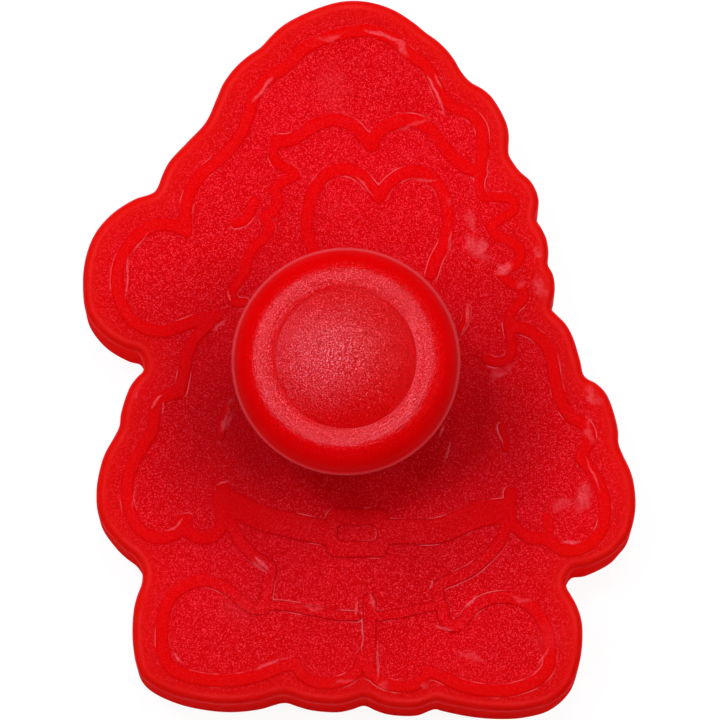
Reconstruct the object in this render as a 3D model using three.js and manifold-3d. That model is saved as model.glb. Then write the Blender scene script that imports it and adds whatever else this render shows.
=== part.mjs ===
// Press-down cookie press: a lobed cutter with a sprung plunger that embosses and ejects the biscuit.
// Units are millimetres. +Z is up out of the knob, +Y points to the tip of the figure's hat.
// Left is -X and right is +X, as seen from above.
// The origin is the centre of the outline, in the plane of the cutting edge.

import * as THREE from 'three';
import { mergeVertices } from 'three/addons/utils/BufferGeometryUtils.js';
import Module from 'manifold-3d';

const wasm = await Module();
wasm.setup();

// ---------------------------------------------------------------- driving dimensions

// plunger axis in the plate
const AXIS_X = -1.65;
const AXIS_Y = -3.45;

const EDGE_BREAK = 0.3;      // small chamfer on the collar, plates, stem foot and knob neck
const MATE_GAP = 0.05;       // gap between pieces that rest on each other

// cutter body
const TOP_Z = 16.0;          // upper face of the top plate
const PLATE_THICKNESS = 1.8;
const WALL = 1.6;            // skirt wall
const EDGE_LAND = 0.8;       // flat land left on the cutting edge
const EDGE_BEVEL_HEIGHT = 2.5; // outside bevel above the cutting edge
const RIM_R = 1.0;           // rounding of the top rim
const LINE_HEIGHT = 0.18;    // line pattern above the top face
const LINE_ROOT = 0.4;       // line pattern sunk into the plate
const HOLE_R = 3.75;         // plunger hole in the top plate
const COLLAR_OUTER_R = 7.0;
const COLLAR_INNER_R = 5.8;
const COLLAR_TOP = 27.0;

// embossing plate
const EMBOSS_INSET = WALL + 0.4;  // skirt wall and running gap
const EMBOSS_TOP = 11.8;     // upper face at rest
const EMBOSS_BOTTOM = EMBOSS_TOP - 1.6;
const RIDGE_HEIGHT = 1.6;    // printing ridges below the plate
const RIDGE_ROOT = 0.3;      // printing ridges sunk into the plate
const RIDGE_NARROWING = 0.4; // a ridge is this much narrower than its line on the top face

// plunger
const STEM_R = 3.5;
const FOOT_R = 6.5;
const FOOT_TOP = EMBOSS_TOP + 1.35;
const STEM_TOP = 33.4;
const PILOT_R = 1.65;
const PILOT_BOTTOM = 23.6;

// knob
const NECK_INNER_R = 7.4;
const NECK_OUTER_R = 9.0;
const NECK_BOTTOM = 24.8;
const WEB_Z = 36.0;          // spring seat under the web
const WEB_TOP = WEB_Z + 1.4;
const CUP_OUTER_R = 4.1;
const CUP_INNER_R = 3.2;
const CUP_FLOOR_Z = STEM_TOP + 1.25;
const KNOB_R = 14.75;
const SHOULDER_R = 3.7;      // rounding between side and crest
const SHOULDER_Z = 36.68;    // centre height of that rounding
const KNOB_SPLIT = 32.7;     // joint between the lower and upper shells
const KNOB_TOP = 41.25;      // crown of the thumb button
const CAP_R = 9.05;          // thumb button
const CAP_SEAT_R = CAP_R + 0.1;
const CAP_SEAT_Z = 38.9;
const DOME_R = 37.8;         // sphere radius of the thumb button's crown

// return spring
const WIRE_D = 0.9;
const COIL_R = 4.7;
const SPRING_GAP = 0.04;     // between the spring and each of its seats
const SPRING_BOTTOM = TOP_Z + SPRING_GAP;
const SPRING_TOP = WEB_Z - SPRING_GAP;
const SPRING_TURNS = 8;

// sampling of the outline and the line pattern
const OUTLINE_STEP = 0.12;
const OUTLINE_TOLERANCE = 0.08;
const NORMAL_SPAN = 4;       // samples each side of a point that set its normal
const STROKE_STEP = 0.5;
const PATTERN_TOLERANCE = 0.15;
const MIN_LOOP_POINTS = 9;
const MIN_LOOP_AREA = 0.6;
const FIELD_MARGIN = 1.2;    // distance worked out beyond each stroke's edge
const FIELD_FAR = 9;         // distance given to cells away from every stroke
const CELL = 0.35;
const GRID_LEFT = -38;
const GRID_BOTTOM = -49;
const COLUMNS = Math.ceil((-2 * GRID_LEFT) / CELL) + 1;
const ROWS = Math.ceil((-2 * GRID_BOTTOM) / CELL) + 1;

// closed outline of the cutter as [x, y], counter-clockwise from the hat tip
const OUTLINE = [
  [-2.36, 47.14], [-5.78, 46.14], [-9.08, 44.58], [-10.51, 43.6], [-11.82, 42.33],
  [-13.05, 40.99], [-14.55, 39.94], [-15.88, 38.83], [-17.1, 37.46], [-18.1, 35.93],
  [-18.81, 34.25], [-20.27, 31], [-22.72, 28.29], [-25.11, 25.67], [-25.96, 24.05],
  [-26.6, 22.33], [-27.08, 21.63], [-27.84, 21.25], [-29.58, 20.69], [-32.63, 18.72],
  [-34.93, 16], [-36.18, 12.58], [-36.47, 8.94], [-35.97, 5.45], [-33.79, 2.52],
  [-30.78, 0.67], [-29.06, 0.1], [-28.39, -1.54], [-28.51, -2.31], [-29.13, -2.91],
  [-30.21, -4.38], [-31.37, -7.84], [-31.58, -9.56], [-32.36, -11.19], [-33.27, -12.77],
  [-33.92, -14.48], [-34.55, -17.98], [-34.19, -21.61], [-32.22, -24.54], [-30.91, -25.82],
  [-29.47, -26.95], [-28.56, -28.49], [-28.53, -30.26], [-29.11, -31.9], [-29.56, -33.67],
  [-29.75, -37.32], [-29.28, -40.85], [-28.59, -42.53], [-27.25, -43.76], [-24.02, -45.23],
  [-20.45, -46.05], [-16.9, -46.33], [-13.27, -45.97], [-9.83, -45.11], [-8.08, -45.6],
  [-6.32, -46.08], [-2.77, -46.34], [-0.99, -45.99], [0.75, -45.49], [2.42, -46.18],
  [4.18, -46.68], [7.73, -46.77], [9.43, -46.13], [10.25, -45.93], [11.16, -46.18],
  [14.65, -46.9], [18.3, -47.24], [21.85, -47.07], [25.36, -46.07], [27.95, -43.69],
  [29.12, -40.25], [29.41, -36.7], [29.21, -34.89], [28.61, -33.17], [27.77, -31.65],
  [27.35, -30.9], [27.35, -29.97], [28.26, -28.5], [30.05, -28.19], [33.32, -26.6],
  [34.54, -25.37], [35.63, -23.9], [36.44, -20.37], [36.18, -16.82], [35.64, -15.08],
  [34.85, -13.43], [34.26, -11.84], [34.18, -10.02], [33.23, -6.49], [32.44, -4.95],
  [31.1, -3.73], [30.32, -3.36], [29.67, -2.73], [29.25, -0.95], [28.21, 2.45],
  [27.31, 4.04], [26.04, 5.35], [25.49, 5.97], [25.55, 6.79], [25.91, 8.42],
  [25.78, 10.2], [25.5, 11.01], [25.03, 11.85], [25.09, 13.62], [24.81, 15.42],
  [24.06, 16.98], [23.59, 17.7], [23.53, 18.62], [23.83, 20.19], [23.53, 21.68],
  [22.67, 23.17], [21.32, 24.4], [20.26, 25.87], [19.88, 26.64], [19.84, 27.59],
  [19.89, 29.31], [19.48, 31.09], [17.69, 34.26], [16.41, 35.42], [14.83, 36.35],
  [13.64, 37.69], [12.72, 39.28], [11.68, 40.66], [10.36, 41.93], [8.88, 43],
  [7.48, 44.18], [4.49, 46.09], [1, 47.14],
];

// line pattern: plain strokes as [width, [[x, y], ...]]
const STROKES = {
  hat_edge: [1.6, [
    [-22.8, 16.2], [-22.9, 18.4], [-22.5, 20.9], [-21.0, 23.6], [-18.3, 26.0], [-16.1, 28.4],
    [-14.7, 31.3], [-14.0, 34.0], [-12.4, 36.3], [-9.4, 38.4], [-7.4, 40.5], [-4.4, 42.0],
    [-1.1, 42.9], [1.9, 43.0], [4.5, 41.9], [6.6, 40.0], [8.8, 38.4], [10.0, 36.4],
    [10.9, 34.3], [12.4, 32.9], [14.6, 32.0], [16.1, 30.3], [16.4, 27.6], [16.1, 24.8]]],
  trim_left: [1.7, [
    [-10.9, 28.3], [-9.1, 28.4], [-7.5, 29.2], [-5.5, 30.5], [-3.1, 31.1], [-0.9, 30.4],
    [0.6, 28.9], [1.7, 27.6]]],
  trim_right: [1.7, [
    [1.7, 27.6], [2.8, 29.6], [4.7, 30.7], [6.8, 31.1], [8.8, 30.4], [10.4, 28.7],
    [12.1, 26.5], [14.1, 24.8], [16.1, 24.0]]],
  curl_right_upper: [1.3, [
    [16.1, 24.0], [15.9, 22.2], [16.3, 21.0], [18.0, 20.8], [19.9, 20.6], [20.6, 19.7],
    [19.9, 18.5], [18.4, 17.7], [17.4, 16.9]]],
  curl_right_middle: [1.3, [
    [17.4, 16.9], [18.2, 15.7], [20.0, 14.9], [21.3, 13.7], [21.1, 12.2], [19.6, 11.2],
    [18.8, 10.5]]],
  curl_right_lower: [1.3, [
    [18.8, 10.5], [19.9, 9.4], [21.5, 8.6], [21.7, 7.3], [20.5, 5.9], [19.7, 4.4],
    [19.9, 2.5], [20.2, 0.8], [19.7, -0.7], [18.1, -1.2], [16.7, -0.7]]],
  curl_left_upper: [1.3, [
    [-10.7, 28.1], [-11.3, 26.7], [-10.7, 25.2], [-9.1, 24.5], [-8.4, 23.7], [-10.0, 22.9],
    [-11.2, 21.7]]],
  curl_left_middle: [1.3, [
    [-11.2, 21.7], [-10.6, 20.2], [-11.4, 18.8], [-12.5, 18.0], [-11.7, 16.8], [-12.4, 15.4],
    [-13.8, 14.2]]],
  curl_left_lower: [1.3, [
    [-13.8, 14.2], [-14.7, 12.6], [-15.1, 10.8], [-16.0, 9.3], [-16.8, 8.0], [-16.3, 6.8],
    [-15.1, 6.7]]],
  curl_left_outer: [1.3, [[-13.8, 20.2], [-14.3, 18.8], [-15.3, 17.6], [-16.3, 17.3]]],
  opening_left: [1.6, [
    [-6.1, 13.7], [-6.8, 16.2], [-6.7, 19.0], [-5.9, 21.7], [-4.3, 23.7], [-1.9, 24.5],
    [0.2, 23.7], [1.7, 22.1], [2.6, 20.8]]],
  opening_right: [1.6, [
    [2.6, 20.8], [3.8, 22.4], [5.4, 23.7], [7.3, 24.2], [9.3, 23.6], [10.8, 22.0],
    [11.6, 19.8], [11.8, 17.2], [11.3, 14.6], [10.2, 12.4], [9.6, 10.5]]],
  pompom: [1.6, [
    [-22.8, 16.2], [-24.6, 17.0], [-26.8, 17.0], [-29.1, 15.8], [-31.0, 13.4], [-31.9, 10.2],
    [-31.5, 7.1], [-30.0, 4.5], [-27.9, 3.2], [-25.7, 2.9], [-23.4, 3.6], [-21.0, 4.5],
    [-18.9, 4.8]]],
  side_left: [1.6, [
    [-18.9, 4.8], [-20.4, 3.3], [-21.8, 1.6], [-22.7, -0.7], [-23.1, -3.0], [-23.5, -5.0]]],
  sleeve_left: [1.6, [
    [-23.5, -5.0], [-25.0, -5.6], [-26.4, -6.2], [-26.9, -8.2], [-27.2, -10.3],
    [-28.5, -12.5], [-29.8, -14.8], [-30.5, -17.6], [-30.3, -20.3], [-29.4, -22.5],
    [-27.7, -24.1], [-25.8, -24.5], [-24.1, -23.9], [-22.9, -23.0]]],
  sleeve_left_end: [1.6, [
    [-22.9, -23.0], [-21.9, -24.1], [-20.6, -24.5], [-19.0, -24.1], [-17.9, -22.8]]],
  thumb_left: [1.2, [[-22.9, -23.6], [-23.7, -22.8], [-23.3, -22.0], [-22.4, -21.8]]],
  belt_left: [3.3, [
    [-17.7, -19.5], [-15.6, -20.4], [-13.0, -21.7], [-9.7, -22.6], [-7.0, -23.2],
    [-4.4, -23.7]]],
  belt_right: [3.3, [
    [3.5, -23.6], [6.8, -23.6], [9.8, -23.6], [12.0, -23.0], [14.0, -22.1], [16.1, -21.3],
    [19.0, -20.9]]],
  loop_left: [1.6, [[-17.8, -17.7], [-18.2, -19.5], [-18.0, -22.1]]],
  loop_right: [1.6, [[19.9, -18.5], [19.9, -20.1], [19.4, -22.8]]],
  coat_left: [1.6, [
    [-16.8, -22.5], [-15.7, -24.7], [-13.7, -26.9], [-11.6, -28.3], [-11.9, -30.4],
    [-12.3, -33.0]]],
  coat_right: [1.6, [
    [19.4, -22.8], [18.6, -24.9], [16.9, -26.9], [14.9, -28.6], [12.5, -29.8],
    [10.4, -30.8], [10.4, -32.1], [11.1, -34.0]]],
  hem_left: [1.3, [
    [-12.3, -33.3], [-9.7, -33.4], [-6.4, -34.0], [-3.1, -34.6], [-0.3, -34.8]]],
  hem_right: [1.3, [[2.3, -34.8], [5.4, -34.4], [8.7, -33.6], [11.1, -33.2]]],
  leg: [1.7, [[1.4, -32.6], [1.4, -35.9], [1.4, -39.2], [1.4, -42.2]]],
  boot_left: [1.6, [
    [-12.3, -33.7], [-14.0, -33.7], [-15.6, -32.6], [-17.4, -31.1], [-19.8, -30.1],
    [-22.1, -30.4], [-24.4, -32.0], [-25.5, -34.2], [-25.8, -36.7], [-25.7, -39.2],
    [-24.7, -41.5], [-22.6, -42.6], [-19.5, -43.2], [-16.2, -43.2], [-12.9, -42.5],
    [-10.3, -41.5], [-8.3, -40.9]]],
  heel_left: [1.5, [
    [-8.3, -41.2], [-7.4, -42.5], [-5.7, -43.4], [-3.6, -43.6], [-1.5, -43.0],
    [-0.1, -41.7], [0.6, -39.9]]],
  heel_right: [1.5, [
    [1.4, -41.9], [2.3, -42.9], [3.7, -43.7], [5.7, -44.0], [7.8, -43.6], [9.1, -42.2]]],
  boot_right: [1.6, [
    [11.1, -33.6], [11.2, -35.1], [12.4, -36.1], [13.8, -35.3], [14.9, -33.8],
    [16.9, -32.6], [19.5, -32.3], [21.7, -32.9], [23.6, -34.5], [24.7, -36.7],
    [25.1, -39.2], [24.8, -41.6], [23.3, -43.2], [20.9, -44.2], [18.4, -44.6],
    [15.6, -44.4], [13.0, -43.7], [10.8, -42.6], [9.2, -42.0]]],
  side_right: [1.6, [
    [20.4, 3.6], [22.6, 2.9], [24.6, 1.2], [25.5, -1.2], [26.0, -4.2], [26.8, -6.8],
    [28.1, -8.6], [29.0, -9.0]]],
  sleeve_right_upper: [1.6, [
    [29.0, -9.0], [30.1, -9.9], [30.4, -11.5], [29.6, -13.0], [29.2, -13.9]]],
  sleeve_right_lower: [1.6, [
    [29.2, -13.9], [30.7, -15.6], [32.0, -18.3], [32.4, -20.8], [32.0, -23.2],
    [30.8, -24.9], [29.1, -25.9], [27.1, -26.1], [25.6, -25.3]]],
  sleeve_right_end: [1.6, [
    [25.6, -25.3], [24.6, -24.6], [22.9, -24.5], [21.4, -23.8], [20.1, -22.5]]],
  thumb_right: [1.2, [[24.9, -24.3], [25.0, -23.0], [24.7, -21.8]]],
  drop_left: [1.1, [[-17.3, -7.4], [-18.0, -9.3], [-18.2, -11.0]]],
  drop_right: [0.9, [[18.8, -9.7], [19.2, -11.3], [19.4, -12.7]]],
  drop_upper: [0.9, [[14.3, 6.0], [14.1, 4.5], [13.5, 3.2]]],
};

// belt buckle: a rounded box with a rounded window, about one centre
const BUCKLE_CENTRE = { x: -0.2, y: -23.8 };
const BUCKLE = { ...BUCKLE_CENTRE, halfWidth: 4.1, halfHeight: 3.2, radius: 1.3 };
const BUCKLE_WINDOW = { ...BUCKLE_CENTRE, halfWidth: 2.6, halfHeight: 1.05, radius: 0.8 };

// ---------------------------------------------------------------- planar helpers

function smoothCurve(points, closed, step) {
  const controls = points.map(([x, y]) => new THREE.Vector3(x, y, 0));
  const curve = new THREE.CatmullRomCurve3(controls, closed, 'centripetal');
  const divisions = Math.max(4, Math.round(curve.getLength() / step));
  const samples = curve.getSpacedPoints(divisions).map((point) => [point.x, point.y]);
  if (closed) samples.pop();
  return samples;
}

function segmentDistance([x, y], [startX, startY], [endX, endY]) {
  const dx = endX - startX;
  const dy = endY - startY;
  const squared = dx * dx + dy * dy;
  const along = squared ? ((x - startX) * dx + (y - startY) * dy) / squared : 0;
  const nearest = Math.min(1, Math.max(0, along));
  return Math.hypot(x - startX - nearest * dx, y - startY - nearest * dy);
}

// indices kept when a polyline is thinned to a chord tolerance
function thin(points, tolerance) {
  const keep = new Set([0, points.length - 1]);
  const spans = [[0, points.length - 1]];
  while (spans.length) {
    const [first, last] = spans.pop();
    let worst = 0;
    let worstIndex = -1;
    for (let k = first + 1; k < last; k++) {
      const distance = segmentDistance(points[k], points[first], points[last]);
      if (distance > worst) {
        worst = distance;
        worstIndex = k;
      }
    }
    if (worst > tolerance) {
      keep.add(worstIndex);
      spans.push([first, worstIndex], [worstIndex, last]);
    }
  }
  return [...keep];
}

// the same for a closed ring, thinned as two halves
function thinClosed(points, tolerance) {
  const closed = [...points, points[0]];
  const half = Math.floor(points.length / 2);
  const firstHalf = thin(closed.slice(0, half + 1), tolerance);
  const secondHalf = thin(closed.slice(half), tolerance).map((i) => i + half);
  return [...new Set([...firstHalf, ...secondHalf])]
    .filter((i) => i < points.length)
    .sort((one, other) => one - other);
}

function signedArea(points) {
  let doubled = 0;
  points.forEach(([x, y], i) => {
    const [nextX, nextY] = points[(i + 1) % points.length];
    doubled += x * nextY - nextX * y;
  });
  return doubled / 2;
}

function contains(loop, [x, y]) {
  let inside = false;
  loop.forEach(([endX, endY], i) => {
    const [startX, startY] = loop[(i + loop.length - 1) % loop.length];
    if ((endY > y) === (startY > y)) return;
    if (x < ((startX - endX) * (y - endY)) / (startY - endY) + endX) inside = !inside;
  });
  return inside;
}

function roundedBoxDistance(x, y, box) {
  const dx = Math.abs(x - box.x) - box.halfWidth + box.radius;
  const dy = Math.abs(y - box.y) - box.halfHeight + box.radius;
  const outside = Math.hypot(Math.max(dx, 0), Math.max(dy, 0));
  return outside + Math.min(Math.max(dx, dy), 0) - box.radius;
}

// ---------------------------------------------------------------- line pattern

const gridX = (i) => GRID_LEFT + i * CELL;
const gridY = (j) => GRID_BOTTOM + j * CELL;

// distance to the pattern's edge at each grid point, negative inside
function patternField(narrowing) {
  const field = new Float64Array(COLUMNS * ROWS).fill(FIELD_FAR);
  const lower = (i, j, distance) => {
    const k = j * COLUMNS + i;
    field[k] = Math.min(field[k], distance);
  };

  for (const [width, points] of Object.values(STROKES)) {
    const line = smoothCurve(points, false, STROKE_STEP);
    const half = (width - narrowing) / 2;
    const reach = half + FIELD_MARGIN;
    for (let s = 0; s + 1 < line.length; s++) {
      const [start, end] = [line[s], line[s + 1]];
      const firstColumn = Math.floor((Math.min(start[0], end[0]) - reach - GRID_LEFT) / CELL);
      const lastColumn = Math.ceil((Math.max(start[0], end[0]) + reach - GRID_LEFT) / CELL);
      const firstRow = Math.floor((Math.min(start[1], end[1]) - reach - GRID_BOTTOM) / CELL);
      const lastRow = Math.ceil((Math.max(start[1], end[1]) + reach - GRID_BOTTOM) / CELL);
      for (let j = firstRow; j <= lastRow; j++) {
        for (let i = firstColumn; i <= lastColumn; i++) {
          lower(i, j, segmentDistance([gridX(i), gridY(j)], start, end) - half);
        }
      }
    }
  }

  // the window is cut last, through strokes and buckle alike
  for (let j = 0; j < ROWS; j++) {
    for (let i = 0; i < COLUMNS; i++) {
      const [x, y] = [gridX(i), gridY(j)];
      lower(i, j, roundedBoxDistance(x, y, BUCKLE) + narrowing / 2);
      const window = roundedBoxDistance(x, y, BUCKLE_WINDOW) - narrowing / 2;
      const k = j * COLUMNS + i;
      field[k] = Math.max(field[k], -window);
    }
  }
  return field;
}

// zero contours of the field, inside kept on the left
function contours(field) {
  const value = ([i, j]) => field[j * COLUMNS + i];
  const next = new Map();
  const crossingPoints = new Map();

  // key of the grid edge between two corners; its crossing point is stored once
  const crossEdge = (from, to) => {
    const [i, j] = from;
    const [k, l] = to;
    const key = `${Math.min(i, k)},${Math.min(j, l)},${i === k ? 'v' : 'h'}`;
    if (!crossingPoints.has(key)) {
      const part = value(from) / (value(from) - value(to));
      crossingPoints.set(key, [
        GRID_LEFT + CELL * (i + part * (k - i)),
        GRID_BOTTOM + CELL * (j + part * (l - j)),
      ]);
    }
    return key;
  };

  for (let j = 0; j < ROWS - 1; j++) {
    for (let i = 0; i < COLUMNS - 1; i++) {
      const corners = [[i, j], [i + 1, j], [i + 1, j + 1], [i, j + 1]];
      const inside = corners.map((corner) => value(corner) < 0);
      const crossings = [];
      for (let e = 0; e < 4; e++) {
        const f = (e + 1) % 4;
        if (inside[e] === inside[f]) continue;
        crossings.push({ key: crossEdge(corners[e], corners[f]), leaving: inside[e] });
      }
      // with four crossings, the mean of the corners decides which ones join
      const sum = corners.reduce((total, corner) => total + value(corner), 0);
      const stride = crossings.length === 2 || sum < 0 ? 1 : 3;
      crossings.forEach(({ key, leaving }, e) => {
        if (leaving) next.set(key, crossings[(e + stride) % crossings.length].key);
      });
    }
  }

  const loops = [];
  while (next.size) {
    const loop = [];
    let key = next.keys().next().value;
    while (next.has(key)) {
      loop.push(crossingPoints.get(key));
      const following = next.get(key);
      next.delete(key);
      key = following;
    }
    if (loop.length >= MIN_LOOP_POINTS) loops.push(loop);
  }
  return loops;
}

// the line pattern as shapes with holes, each stroke narrowed by the given amount
function patternShapes(narrowing) {
  const loops = contours(patternField(narrowing))
    .map((loop) => thinClosed(loop, PATTERN_TOLERANCE).map((i) => loop[i]))
    .filter((loop) => Math.abs(signedArea(loop)) > MIN_LOOP_AREA);
  const outers = loops.filter((loop) => signedArea(loop) > 0);
  const holes = loops.filter((loop) => signedArea(loop) < 0);
  const vectors = (loop) => loop.map(([x, y]) => new THREE.Vector2(x, y));
  const shapes = new Map(outers.map((outer) => [outer, new THREE.Shape(vectors(outer))]));
  for (const hole of holes) {
    // a hole belongs to the smallest loop around it
    const [owner] = outers
      .filter((outer) => contains(outer, hole[0]))
      .sort((one, other) => signedArea(one) - signedArea(other));
    if (owner) shapes.get(owner).holes.push(new THREE.Path(vectors(hole)));
  }
  return [...shapes.values()];
}

// ---------------------------------------------------------------- solid helpers

// welds the vertices and drops collapsed triangles
function clean(geometry) {
  const bare = geometry.clone();
  bare.deleteAttribute('normal');
  bare.deleteAttribute('uv');
  const merged = mergeVertices(bare, 1e-4);
  const source = merged.index.array;
  const index = [];
  for (let i = 0; i < source.length; i += 3) {
    const triangle = [source[i], source[i + 1], source[i + 2]];
    if (new Set(triangle).size === 3) index.push(...triangle);
  }
  merged.setIndex(index);
  return merged;
}

function toManifold(geometry) {
  const welded = clean(geometry);
  return new wasm.Manifold(new wasm.Mesh({
    numProp: 3,
    vertProperties: new Float32Array(welded.attributes.position.array),
    triVerts: new Uint32Array(welded.index.array),
  }));
}

function fromManifold(solid) {
  const { vertProperties, triVerts } = solid.getMesh();
  const geometry = new THREE.BufferGeometry();
  const position = new THREE.BufferAttribute(new Float32Array(vertProperties), 3);
  geometry.setAttribute('position', position);
  geometry.setIndex(Array.from(triVerts));
  geometry.computeVertexNormals();
  return geometry;
}

// stack of rings with one point count; the first ring is capped upwards, the last downwards
function loft(rings) {
  const count = rings[0].length;
  const index = [];
  for (let r = 0; r + 1 < rings.length; r++) {
    for (let i = 0; i < count; i++) {
      const j = (i + 1) % count;
      const [here, hereNext] = [r * count + i, r * count + j];
      const [below, belowNext] = [here + count, hereNext + count];
      index.push(below, belowNext, hereNext, below, hereNext, here);
    }
  }
  const cap = (r, up) => {
    const flat = rings[r].map(([x, y]) => new THREE.Vector2(x, y));
    for (const face of THREE.ShapeUtils.triangulateShape(flat, [])) {
      const [i, j, k] = face.map((corner) => r * count + corner);
      index.push(...(up ? [i, j, k] : [i, k, j]));
    }
  };
  cap(0, true);
  cap(rings.length - 1, false);
  const geometry = new THREE.BufferGeometry();
  geometry.setAttribute('position', new THREE.Float32BufferAttribute(rings.flat(2), 3));
  geometry.setIndex(index);
  return geometry;
}

// solid of revolution about the plunger axis from an [radius, z] profile;
// a closed profile stands clear of the axis, an open one starts and ends on it
function revolve(profile, segments, closed) {
  const points = profile.map(([radius, z]) => new THREE.Vector2(radius, z));
  if (signedArea(profile) < 0) points.reverse();
  if (closed) points.push(points[0]);
  const geometry = new THREE.LatheGeometry(points, segments);
  geometry.rotateX(Math.PI / 2);
  geometry.translate(AXIS_X, AXIS_Y, 0);
  return clean(geometry);
}

function addPattern(solid, narrowing, bottom, top) {
  let result = solid;
  for (const shape of patternShapes(narrowing)) {
    const prism = new THREE.ExtrudeGeometry(shape, {
      depth: top - bottom,
      bevelEnabled: false,
      steps: 1,
    });
    prism.translate(0, 0, bottom);
    result = result.add(toManifold(prism));
  }
  return result;
}

// ---------------------------------------------------------------- outline rings

// thinned outline points with their outward normals
function outlineStations() {
  const fine = smoothCurve(OUTLINE, true, OUTLINE_STEP);
  return thinClosed(fine, OUTLINE_TOLERANCE).map((i) => {
    const before = fine[(i - NORMAL_SPAN + fine.length) % fine.length];
    const after = fine[(i + NORMAL_SPAN) % fine.length];
    const dx = after[0] - before[0];
    const dy = after[1] - before[1];
    const length = Math.hypot(dx, dy);
    return { point: fine[i], normal: [dy / length, -dx / length] };
  });
}

const STATIONS = outlineStations();

function ring(inset, z) {
  return STATIONS.map(({ point, normal }) => [
    point[0] - normal[0] * inset,
    point[1] - normal[1] * inset,
    z,
  ]);
}

// ---------------------------------------------------------------- materials

const material = (settings) => new THREE.MeshStandardMaterial(settings);
const redPlate = material({ name: 'red plate', color: '#d81a24', roughness: 0.45, metalness: 0 });
const redKnob = material({ name: 'red knob', color: '#cf1420', roughness: 0.35, metalness: 0 });
const redInner = material({ name: 'red inner', color: '#c8161f', roughness: 0.5, metalness: 0 });
const steel = material({ name: 'steel', color: '#b9bcc0', roughness: 0.3, metalness: 1 });

// ---------------------------------------------------------------- cutter body
// Top plate, deep skirt with an outside bevel down to the cutting edge, and a guide collar.

function cutterBody() {
  const rimStep = RIM_R * 0.29;  // middle of the two-facet rim rounding
  const shell = toManifold(loft([
    ring(RIM_R, TOP_Z),
    ring(rimStep, TOP_Z - rimStep),
    ring(0, TOP_Z - RIM_R),
    ring(0, EDGE_BEVEL_HEIGHT),
    ring(WALL - EDGE_LAND, 0),
    ring(WALL, 0),
    ring(WALL, TOP_Z - PLATE_THICKNESS),
  ]));

  const flare = 1.0;             // spread of the collar's root, over the same height
  const root = TOP_Z - 0.6;
  const collar = toManifold(revolve([
    [COLLAR_INNER_R, root],
    [COLLAR_OUTER_R + flare, root],
    [COLLAR_OUTER_R + flare, TOP_Z],
    [COLLAR_OUTER_R + 0.3, TOP_Z + 0.3],
    [COLLAR_OUTER_R, TOP_Z + flare],
    [COLLAR_OUTER_R, COLLAR_TOP - EDGE_BREAK],
    [COLLAR_OUTER_R - EDGE_BREAK, COLLAR_TOP],
    [COLLAR_INNER_R + EDGE_BREAK, COLLAR_TOP],
    [COLLAR_INNER_R, COLLAR_TOP - EDGE_BREAK],
  ], 36, true));

  const overcut = 1;
  const holeBottom = TOP_Z - PLATE_THICKNESS - overcut;
  const hole = toManifold(revolve([
    [0, holeBottom],
    [HOLE_R, holeBottom],
    [HOLE_R, TOP_Z + overcut],
    [0, TOP_Z + overcut],
  ], 28, false));

  const body = shell.add(collar).subtract(hole);
  return fromManifold(addPattern(body, 0, TOP_Z - LINE_ROOT, TOP_Z + LINE_HEIGHT));
}

// ---------------------------------------------------------------- embossing plate
// Runs inside the skirt; printing ridges underneath, snap socket for the stem on top.

function embossingPlate() {
  const plate = toManifold(loft([
    ring(EMBOSS_INSET + EDGE_BREAK, EMBOSS_TOP),
    ring(EMBOSS_INSET, EMBOSS_TOP - EDGE_BREAK),
    ring(EMBOSS_INSET, EMBOSS_BOTTOM),
  ]));

  const root = EMBOSS_TOP - 0.5;
  const top = EMBOSS_TOP + 2.1;
  const outer = FOOT_R + 2.0;
  const bore = FOOT_R + 0.25;
  const lip = FOOT_R - 0.4;      // overhangs the stem foot
  const lipBottom = FOOT_TOP + 0.15;
  const socket = toManifold(revolve([
    [bore, root],
    [outer, root],
    [outer, top - EDGE_BREAK],
    [outer - EDGE_BREAK, top],
    [lip + EDGE_BREAK, top],
    [lip, top - EDGE_BREAK],
    [lip, lipBottom],
    [bore, lipBottom],
  ], 36, true));

  const ridgeBottom = EMBOSS_BOTTOM - RIDGE_HEIGHT;
  const ridgeTop = EMBOSS_BOTTOM + RIDGE_ROOT;
  return fromManifold(addPattern(plate.add(socket), RIDGE_NARROWING, ridgeBottom, ridgeTop));
}

// ---------------------------------------------------------------- plunger stem
// Snap foot, round shaft, blind pilot hole for the knob screw.

function plungerStem() {
  const bottom = EMBOSS_TOP + MATE_GAP;
  const fillet = 0.6;
  const tipBevel = 0.4;
  return revolve([
    [0, bottom],
    [FOOT_R - EDGE_BREAK, bottom],
    [FOOT_R, bottom + EDGE_BREAK],
    [FOOT_R, FOOT_TOP - 0.2],
    [FOOT_R - 0.6, FOOT_TOP],
    [STEM_R + fillet, FOOT_TOP],
    [STEM_R, FOOT_TOP + fillet],
    [STEM_R, STEM_TOP - tipBevel],
    [STEM_R - tipBevel, STEM_TOP],
    [PILOT_R, STEM_TOP],
    [PILOT_R, PILOT_BOTTOM],
    [0, PILOT_BOTTOM - 0.8],
  ], 24, false);
}

// ---------------------------------------------------------------- return spring
// Compression spring with closed end turns, around the collar's axis, under the knob's web.

class SpringCurve extends THREE.Curve {
  getPoint(fraction, target = new THREE.Vector3()) {
    const turn = fraction * SPRING_TURNS;
    const bottom = SPRING_BOTTOM + WIRE_D / 2;
    const top = SPRING_TOP - WIRE_D / 2;
    const endRise = WIRE_D * 1.06;  // rise of each closed end turn
    const pitch = (top - bottom - 2 * endRise) / (SPRING_TURNS - 2);
    let z = bottom + endRise + (turn - 1) * pitch;
    if (turn < 1) z = bottom + endRise * turn;
    if (turn > SPRING_TURNS - 1) z = top - endRise * (SPRING_TURNS - turn);
    const angle = turn * 2 * Math.PI;
    const x = AXIS_X + COIL_R * Math.cos(angle);
    const y = AXIS_Y + COIL_R * Math.sin(angle);
    return target.set(x, y, z);
  }
}

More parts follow.
